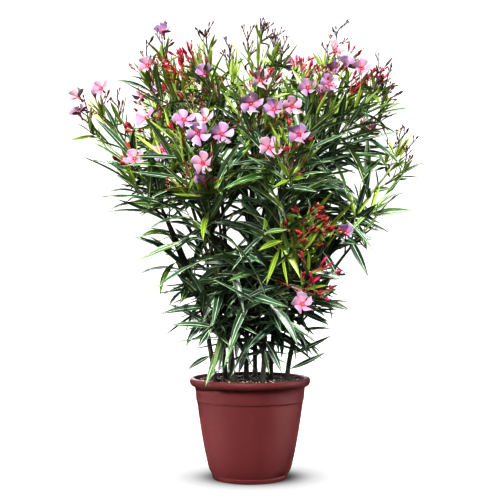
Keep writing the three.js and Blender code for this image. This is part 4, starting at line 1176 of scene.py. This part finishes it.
for shoot_name, fork, blooms, large, small, tone in HEADS:
    fork = np.array(fork, float)
    number = next(i for i, shoot in enumerate(shoots) if shoot["name"] == shoot_name)
    place, along = nearest_wood(number, fork)
    rise = TRUSS_RISE if tone == "dark" else 0
    radial = np.array([fork[0], fork[1], 0.0])
    radial /= max(np.linalg.norm(radial), 60)
    lift = 0.1 if fork[2] < LOW_HEAD else 0.5 if tone == "coral" else 1.1
    up = unit(np.array([0, 0, 1.0]) * lift + radial * (0.2 if rise else 0.7) + 0.3 * along)
    heavy = TRUSS_HEAVY if rise else 1.0
    add_stalk(place, along, fork, 1.5 * heavy, 1.1 * heavy, tone, sides=6)
    if np.linalg.norm(fork - place) > BARE_STALK:
        bract_rows.extend((place + (fork - place) * share, unit(fork - place)) for share in (0.35, 0.7))
    bract_rows.append((fork, up))
    front = -1.0 if fork[1] < 60 else 1.0
    for right, high, *half_open in blooms:
        spot = np.array([right, fork[1] + front * (24 + 10 * head_dice.random()), high])
        spot = np.clip(spot, low_corner + BLOOM_REACH, high_corner - BLOOM_REACH)
        facing = unit(radial * 0.4 + np.array([0, front * 0.85, 0.5]) + (head_dice.random(3) - 0.5) * 0.85)
        foot = spot - facing * FLOWER_TUBE
        add_stalk(fork, up, foot - facing * 4, 0.9, 0.7, tone)
        draws = head_dice.random(3)
        spread = half_open[0] if half_open else FULL_OPEN - OPEN_RANGE * draws[2] ** 2
        flower_rows.append(dict(spot=spot, facing=facing, tone=draws[0], size=draws[1], spread=spread))
    kinds = ["large"] * large + ["small"] * small
    head_dice.shuffle(kinds)
    branches = max(2, int(math.ceil(len(kinds) / 3)))
    if rise:
        top = np.minimum(fork + unit(up + (0, 0, 0.8)) * rise, high_corner - 26)
        up_line = add_stalk(fork, up, top, 1.5, 1.0, tone)
    for branch in range(branches):
        start = up_line[int((branch + 1) / branches * 6)] if rise else fork
        lean = 6 + 28 * head_dice.random() + (0 if tone == "crimson" else 8)
        direction = leaning(up, sideways(up, GOLDEN_TURN * branch + head_dice.random() * 40), lean)
        size = (14 + 14 * head_dice.random()) if rise else (24 + 26 * head_dice.random())
        end = np.clip(start + direction * size, low_corner + 10, high_corner - 10)
        add_stalk(start, up, end, 0.85 * heavy, 0.6 * heavy, tone, 0.4, 5)
        for bud, kind in enumerate(kinds[branch::branches]):
            bud_turn = head_dice.random() * 360
            bud_lean = 0 if bud == 0 else 16 + 20 * head_dice.random()
            axis = leaning(direction, sideways(direction, bud_turn), bud_lean)
            stem_length = 3 if bud == 0 else 6 + 7 * head_dice.random()
            start = end - direction * (0 if bud == 0 else BUD_STEP * bud)
            foot = start + axis * stem_length
            bud_tip = foot + axis * BUD_ROOM[kind]
            if (bud_tip < low_corner).any() or (bud_tip > high_corner).any():
                continue
            add_stalk(start - direction * 1.5, direction, foot, 0.6 * heavy, 0.5 * heavy, tone, 0.4, 4, 4)
            bud_rows.append(dict(root=foot, axis=axis, large=kind == "large", tone=tone,
                                 grown=head_dice.random(), light=head_dice.random()))

stalk_finishes = [finish("stalk_" + name, tone, 0.52) for name, tone in STALK_COLOURS.items()]
stalks.piece("flower_stalks", stalk_finishes, "bark")

# Bracts: small, narrow, yellow-green leaves in threes under each head of blossom and up the
# longer stalks. They are as thin as young leaves and grow straight from the green wood.

bract_dice = np.random.default_rng(5)
bracts = []
for place, along in bract_rows:
    first_turn = bract_dice.random() * 360
    for i in range(3):
        axis = leaning(along, sideways(along, first_turn + 120 * i), 22 + 26 * bract_dice.random())
        length = 26 + 34 * bract_dice.random()
        bracts.append(dict(root=place, axis=axis, across=unit(np.cross(axis, along)), length=length))
bract = columns(bracts)
count = len(bracts)
bract["over"] = np.cross(bract["across"], bract["axis"])
bract["bend"] = bract_dice.random(count) * 0.5
bract["twist"] = (bract_dice.random(count) - 0.5) * 0.8
bract["sweep"] = (bract_dice.random(count) - 0.5) * 0.1
points, faces, below, _ = blades(bract, LEAF_U, LEAF_HALF, 3 + bract["length"] * 0.085, LEAF_SECTION)
bract_leaves = Joined()
add_blades(bract_leaves, points, faces, LEAF_FINISH[below])
# the young leaves' finishes, their margin painted paler as a highlight
young_finishes = [bpy.data.materials[f"leaf_{side}_young"] for side in ("upper", "under", "margin")]
bract_leaves.piece("bracts", young_finishes, "foliage", crease=70)

# Buds: twisted, pointed spindles of rolled petals, each in a dark red calyx. The large ones
# are crimson or coral and about to open, and the small ones are dark and tightly closed.


def spindles(roots, axes, sizes, widths, profile, sides, twist=0.0, ridge=0.0):
    """Turned forms along many axes at once; a profile gives a share along and a share of radius."""
    along = np.array([row[0] for row in profile])
    radius = np.array([row[1] for row in profile])
    side = np.cross(axes, np.array([0.31, 0.2, 0.93]))
    side /= np.linalg.norm(side, axis=1, keepdims=True)
    other = np.cross(axes, side)
    rows = np.arange(1, len(profile) - 1)
    angles = np.arange(sides) * 2 * math.pi / sides
    turn = angles[None] + twist * along[rows][:, None]
    shape = radius[rows][:, None] * (1 + ridge * np.cos(angles * (sides // 2))[None])
    spread = widths[:, None, None, None] / 2 * (
        side[:, None, None] * (shape * np.cos(turn))[None, ..., None]
        + other[:, None, None] * (shape * np.sin(turn))[None, ..., None])
    centre = roots[:, None] + axes[:, None] * sizes[:, None, None] * along[None, :, None]
    rings = centre[:, rows][:, :, None] + spread
    points = np.concatenate([rings.reshape(len(roots), -1, 3), centre[:, :1], centre[:, -1:]], 1)
    return points, *closed_faces(len(rows), sides)


BUD_PROFILE = [
    (0, 0), (0.02, 0.42), (0.16, 0.62), (0.22, 0.6), (0.4, 0.84),
    (0.58, 1.0), (0.76, 0.84), (0.9, 0.46), (1, 0),
]
# millimetres for a large and a small bud, each with what it grows by, and the share of a coral one
BUD_LENGTHS = (14, 11, 7.5, 5, 0.85)
BUD_WIDTHS = (4.0, 1.5, 2.8, 1.0, 1.35)
DIM = 0.72
BUD_TONES = {
    "crimson": (140, 22, 46), "pink": (172, 42, 78), "coral": (142, 46, 44),
    "red": (132, 28, 44), "dark": (56, 22, 28), "brown": (112, 62, 44),
}
calyx_finish = finish("calyx_red", (112, 32, 38), 0.48)
bud = columns(bud_rows)
for tone, tone_colour in BUD_TONES.items():
    bud_finish = finish("bud_" + tone, tone_colour, 0.4, scale=1200)
    dim_finish = finish("bud_dim_" + tone, [DIM * value for value in tone_colour], 0.4, scale=1200)
    group = picked(bud, bud["tone"] == tone)
    dim = group["light"] < 0.5
    sizes, widths = (
        np.where(group["large"], large + large_more * group["grown"], small + small_more * group["grown"])
        * (coral if tone == "coral" else 1.0)
        for large, large_more, small, small_more, coral in (BUD_LENGTHS, BUD_WIDTHS))
    points, faces, place = spindles(group["root"], group["axis"], sizes, widths, BUD_PROFILE, 8, 2.2, 0.1)
    buds = Joined()
    for chosen, number in ((~dim, 0), (dim, 2)):
        add_blades(buds, points[chosen], faces, np.where(place <= 2, 1, number))
    buds.piece("buds_" + tone, [bud_finish, calyx_finish, dim_finish], "foliage", crease=50)

# Flowers: five broad petals that overlap like a pinwheel, lilac-pink with a deeper throat,
# on a funnel with a fringed crown in its mouth. The funnel sits in a small red calyx at its
# stalk's end. Each is about 45 mm across.

PETAL_U = np.array([0.06, 0.2, 0.36, 0.52, 0.68, 0.84, 0.95])
PETAL_HALF = np.array([0.24, 0.44, 0.66, 0.86, 1.0, 0.97, 0.64])
PETAL_SECTION = [
    (1, 0.2, 0), (0.55, 0.04, 0.2), (0, -0.04, 0.2), (-0.55, 0.04, 0.2), (-1, 0.2, 0),
    (-0.55, 0.04, -0.25), (0, -0.04, -0.3), (0.55, 0.04, -0.25),
]
FUNNEL_PROFILE = [
    (-0.1, 0), (-0.08, 0.3), (0.1, 0.42), (0.45, 0.46), (0.75, 0.72),
    (1.0, 1.0), (1.03, 0.94), (0.8, 0.6), (0.55, 0.3), (0.5, 0),
]
# name, colour, where the flower's own number starts
PETAL_TONES = [
    ("lilac", (124, 99, 126), 0.0), ("rose", (134, 104, 122), 0.36), ("pale", (138, 122, 130), 0.72),
]
PETAL_PARTS = {"": (0, 0, 0), "base_": (14, -32, -28), "middle_": (8, -10, -10), "edge_": (0, 6, 6)}
PETAL_ROLL = 7
PETAL_COUNT = 5
PETAL_RING = 2.2
TUBE_MOUTH = 8.4
CONE_DEPTH = 5
CONE_LENGTH = 8.0
CONE_WIDTH = 2.4
# how many, how far out, their lean and turn in degrees, length and width
FRINGE = (10, 2.6, 30, 18, 5.0, 1.5)
SEPALS = (5, 1.2, 12, 0, 5.5, 2.2)
SEPAL_DROP = 1.5
SEPAL_U = np.array([0.1, 0.4, 0.75])
SEPAL_HALF = np.array([0.8, 1.0, 0.6])
FRINGE_U = np.array([0.2, 0.6])
FRINGE_HALF = np.array([1.0, 0.8])
SMALL_SECTION = [(1, 0, 0), (0, 0, 0.25), (-1, 0, 0), (0, 0, -0.25)]

throat_finish = finish("throat_coral", (176, 84, 104), 0.5)
cone_finish = finish("anther_cone", (220, 170, 130), 0.58)


def spokes(centres, facings, count, start, tilt, first):
    """Directions and roots of things set round many flowers' mouths, leaning out from their axes."""
    roots, axes, across = [], [], []
    for centre, facing, begin, lean in zip(centres, facings, first, np.broadcast_to(tilt, len(centres))):
        for i in range(count):
            out = sideways(facing, begin + 360 / count * i)
            roots.append(centre + out * start)
            axes.append(leaning(facing, out, lean))
            across.append(np.cross(facing, out))
    axes, across = np.array(axes), np.array(across)
    return {"root": np.array(roots), "axis": axes, "across": across, "over": np.cross(across, axes)}


def set_form(rows, length, bend, sweep, twist):
    count = len(rows["root"])
    for key, value in (("length", length), ("bend", bend), ("sweep", sweep), ("twist", twist)):
        rows[key] = np.broadcast_to(value, count).astype(float)
    return rows


flower = columns(flower_rows)
funnels, crowns, calyxes = Joined(), Joined(), Joined()
for number, (tone, tone_colour, start) in enumerate(PETAL_TONES):
    end = PETAL_TONES[number + 1][2] if number + 1 < len(PETAL_TONES) else 2
    group = picked(flower, (flower["tone"] >= start) & (flower["tone"] < end))
    centres, facings = group["spot"], group["facing"]
    sizes, first = 0.9 + 0.2 * group["size"], 360 * group["size"]
    petals = spokes(centres, facings, PETAL_COUNT, PETAL_RING, group["spread"], first)
    roll = math.radians(PETAL_ROLL)
    petals["across"], petals["over"] = (petals["across"] * math.cos(roll) + petals["over"] * math.sin(roll),
                                        petals["over"] * math.cos(roll) - petals["across"] * math.sin(roll))
    wobble = np.random.default_rng(50 + number).random((3, len(petals["root"])))
    petal_sizes = np.repeat(sizes, PETAL_COUNT)
    set_form(petals, petal_sizes * (19 + 3 * wobble[0]), 0.1 + 0.8 * wobble[1], 0.2, 0.5 * wobble[2] - 0.05)
    widths = petal_sizes * (16.5 + 4.5 * wobble[2])
    points, faces, _, place = blades(petals, PETAL_U, PETAL_HALF, widths, PETAL_SECTION)
    finishes = [finish(f"petal_{part}{tone}", np.add(tone_colour, change), 0.55, 0.15, 1300)
                for part, change in PETAL_PARTS.items()]
    shaped = Joined()
    add_blades(shaped, points, faces, np.select([place <= 1, place <= 3, place >= 6], [1, 2, 3], 0))
    shaped.piece("petals_" + tone, finishes, "foliage", crease=75)
    each = np.ones(len(centres))
    points, faces, place = spindles(centres - facings * FLOWER_TUBE, facings, FLOWER_TUBE * each,
                                    sizes * TUBE_MOUTH, FUNNEL_PROFILE, 10)
    add_blades(funnels, points, faces, np.where(place >= 6, 1, 0))
    points, faces, place = spindles(centres - facings * CONE_DEPTH, facings, CONE_LENGTH * each,
                                    CONE_WIDTH * each, BUD_PROFILE, 6)
    add_blades(crowns, points, faces, np.ones(len(faces), int))
    for (many, out, lean, turn, length, width), drop, bend, stations, half, joined in (
            (FRINGE, 0, 0.5, FRINGE_U, FRINGE_HALF, crowns),
            (SEPALS, FLOWER_TUBE + SEPAL_DROP, -0.1, SEPAL_U, SEPAL_HALF, calyxes)):
        rows = set_form(spokes(centres - facings * drop, facings, many, out, lean, first + turn),
                        length, bend, 0, 0)
        widths = np.full(len(rows["root"]), width)
        points, faces, below, _ = blades(rows, stations, half, widths, SMALL_SECTION)
        add_blades(joined, points, faces, 0 * below)

tube_finish = finish("flower_tube", (168, 80, 100), 0.55, 0.15, 1300)
funnels.piece("flower_funnels", [tube_finish, throat_finish], "foliage", crease=60)
crowns.piece("flower_crowns", [throat_finish, cone_finish], "foliage", crease=60)
calyxes.piece("flower_calyxes", [calyx_finish], "foliage", crease=60)

# Stage: a floor that glows pale to the camera, with a shadow painted into that glow round the
# pot's foot, soft studio light from the upper left front, and the camera level with the middle of
# the plant, as the photograph was taken.

FLOOR_REACH = 40
FLOOR_SHADE = 0.012
FLOOR_GLOW = 1.2
ROOM_LIGHT = 0.06
# the shadow painted into the floor's glow round the pot's foot: its middle, where it starts and ends,
# and how it fades between
SHADOW_MIDDLE = (0.005, 0.023, 0)
SHADOW_SHAPE = (1, 1.02, 0)
SHADOW_FROM = 0.075
SHADOW_TO = 0.2
SHADOW_DARKEST = 0.06
SHADOW_FADE = [(0.14, 0.21), (0.23, 0.31), (0.33, 0.4), (0.42, 0.46), (0.6, 0.53), (0.9, 0.6)]
# name, place, aim, size, power and spread: metres, watts and degrees
SOFT_LIGHTS = [
    ("fill", (2.4, -2.2, 1.4), (0, 0, 0.6), 2.0, 24, 180),
    ("front", (-0.5, -2.4, 0.75), (0, 0, 0.5), 0.8, 26, 180),
    ("back", (-0.7, 2.7, 1.7), (0, 0, 0.5), 2.0, 120, 180),
    ("right", (2.7, 0.7, 1.3), (0, 0, 0.6), 2.0, 70, 180),
    ("left", (-2.7, 0.9, 1.3), (0, 0, 0.6), 2.0, 55, 180),
    ("low_left", (-1.3, -0.35, 0.12), (0, 0, 0.09), 0.2, 0.38, 16),
    ("low_right", (1.3, -0.35, 0.12), (0, 0, 0.09), 0.2, 0.36, 16),
]
SUN_POWER = 10.6
SUN_SPREAD = 24
SUN_WAY = (0.25, 0.9, -0.95)
LENS = 92.2
LENS_SENSOR = 36

floor_with_painted_shadow = bpy.data.materials.new("floor_shadow_painted")
floor_with_painted_shadow.use_nodes = True
tree = floor_with_painted_shadow.node_tree
shader = tree.nodes["Principled BSDF"]
shader.inputs["Base Color"].default_value = (FLOOR_SHADE, FLOOR_SHADE, FLOOR_SHADE, 1)
shader.inputs["Roughness"].default_value = 0.8
shader.inputs["Specular IOR Level"].default_value = 0
shader.inputs["Emission Strength"].default_value = FLOOR_GLOW
# painted shadow: the floor's glow, which only the camera sees, is darkened near the pot's foot and fades to
# white farther out
place = add_node(tree, "TexCoord")
from_pot = add_node(tree, "VectorMath", "SUBTRACT")
from_pot.inputs[1].default_value = SHADOW_MIDDLE
squeezed = add_node(tree, "VectorMath", "MULTIPLY")
squeezed.inputs[1].default_value = SHADOW_SHAPE
away = add_node(tree, "VectorMath", "LENGTH")
painted_shadow_share = add_node(tree, "MapRange", **{"From Min": SHADOW_FROM, "From Max": SHADOW_TO})
painted_shadow_ramp = add_node(tree, "ValToRGB")
painted_shadow_ramp.color_ramp.elements[0].color = (SHADOW_DARKEST, SHADOW_DARKEST, SHADOW_DARKEST, 1)
painted_shadow_ramp.color_ramp.elements[1].color = (1, 1, 1, 1)
for position, shade in SHADOW_FADE:
    painted_shadow_ramp.color_ramp.elements.new(position).color = (shade, shade, shade, 1)
glow_seen = add_node(tree, "LightPath")
glow_with_painted_shadow = add_node(tree, "Math", "MULTIPLY")
for output, taken in (
    (place.outputs["Object"], from_pot.inputs[0]), (from_pot.outputs[0], squeezed.inputs[0]),
    (squeezed.outputs[0], away.inputs[0]), (away.outputs["Value"], painted_shadow_share.inputs["Value"]),
    (painted_shadow_share.outputs["Result"], painted_shadow_ramp.inputs["Fac"]), (painted_shadow_ramp.outputs["Color"], glow_with_painted_shadow.inputs[0]),
    (glow_seen.outputs["Is Camera Ray"], glow_with_painted_shadow.inputs[1]),
    (glow_with_painted_shadow.outputs[0], shader.inputs["Emission Color"]),
):
    tree.links.new(output, taken)
corners = ((-1, -1), (1, -1), (1, 1), (-1, 1))
floor_points = [(right * FLOOR_REACH, back * FLOOR_REACH, 0) for right, back in corners]
floor = joined_mesh("floor", floor_points, [(0, 1, 2, 3)], [floor_with_painted_shadow])

world = bpy.data.worlds.new("studio")
bpy.context.scene.world = world
world.use_nodes = True
glow = world.node_tree.nodes["Background"]
glow.inputs["Color"].default_value = (1, 1, 1, 1)
seen = add_node(world.node_tree, "LightPath")
brightness = add_node(world.node_tree, "MapRange", **{"To Min": ROOM_LIGHT, "To Max": 1.0})
world.node_tree.links.new(seen.outputs["Is Camera Ray"], brightness.inputs["Value"])
world.node_tree.links.new(brightness.outputs["Result"], glow.inputs["Strength"])


def set_up(name, data, place, aim):
    """Stands a light or the camera in its place, turned to what it is aimed at."""
    stand = bpy.data.objects.new(name, data)
    stand.location = place
    stand.rotation_euler = (Vector(aim) - Vector(place)).to_track_quat("-Z", "Y").to_euler()
    bpy.context.scene.collection.objects.link(stand)
    return stand


for name, place, aim, size, power, spread in SOFT_LIGHTS:
    lamp = bpy.data.lights.new(name, "AREA")
    lamp.shape = "DISK"
    lamp.size = size
    lamp.energy = power
    lamp.spread = math.radians(spread)
    set_up(name, lamp, place, aim)
sun_lamp = bpy.data.lights.new("sun", "SUN")
sun_lamp.energy = SUN_POWER
sun_lamp.angle = math.radians(SUN_SPREAD)
set_up("sun", sun_lamp, (0, 0, 0), SUN_WAY)

lens = bpy.data.cameras.new("camera")
lens.lens = LENS
lens.sensor_width = LENS_SENSOR
camera = set_up("camera", lens, (0, -EYE_AWAY * MM, EYE_UP * MM), (0, 0, EYE_UP * MM))
camera.rotation_euler = (math.pi / 2, 0, 0)
bpy.context.scene.camera = camera
bpy.context.scene.view_settings.view_transform = "Standard"
bpy.context.scene.view_settings.look = "High Contrast"

bpy.context.view_layer.update()
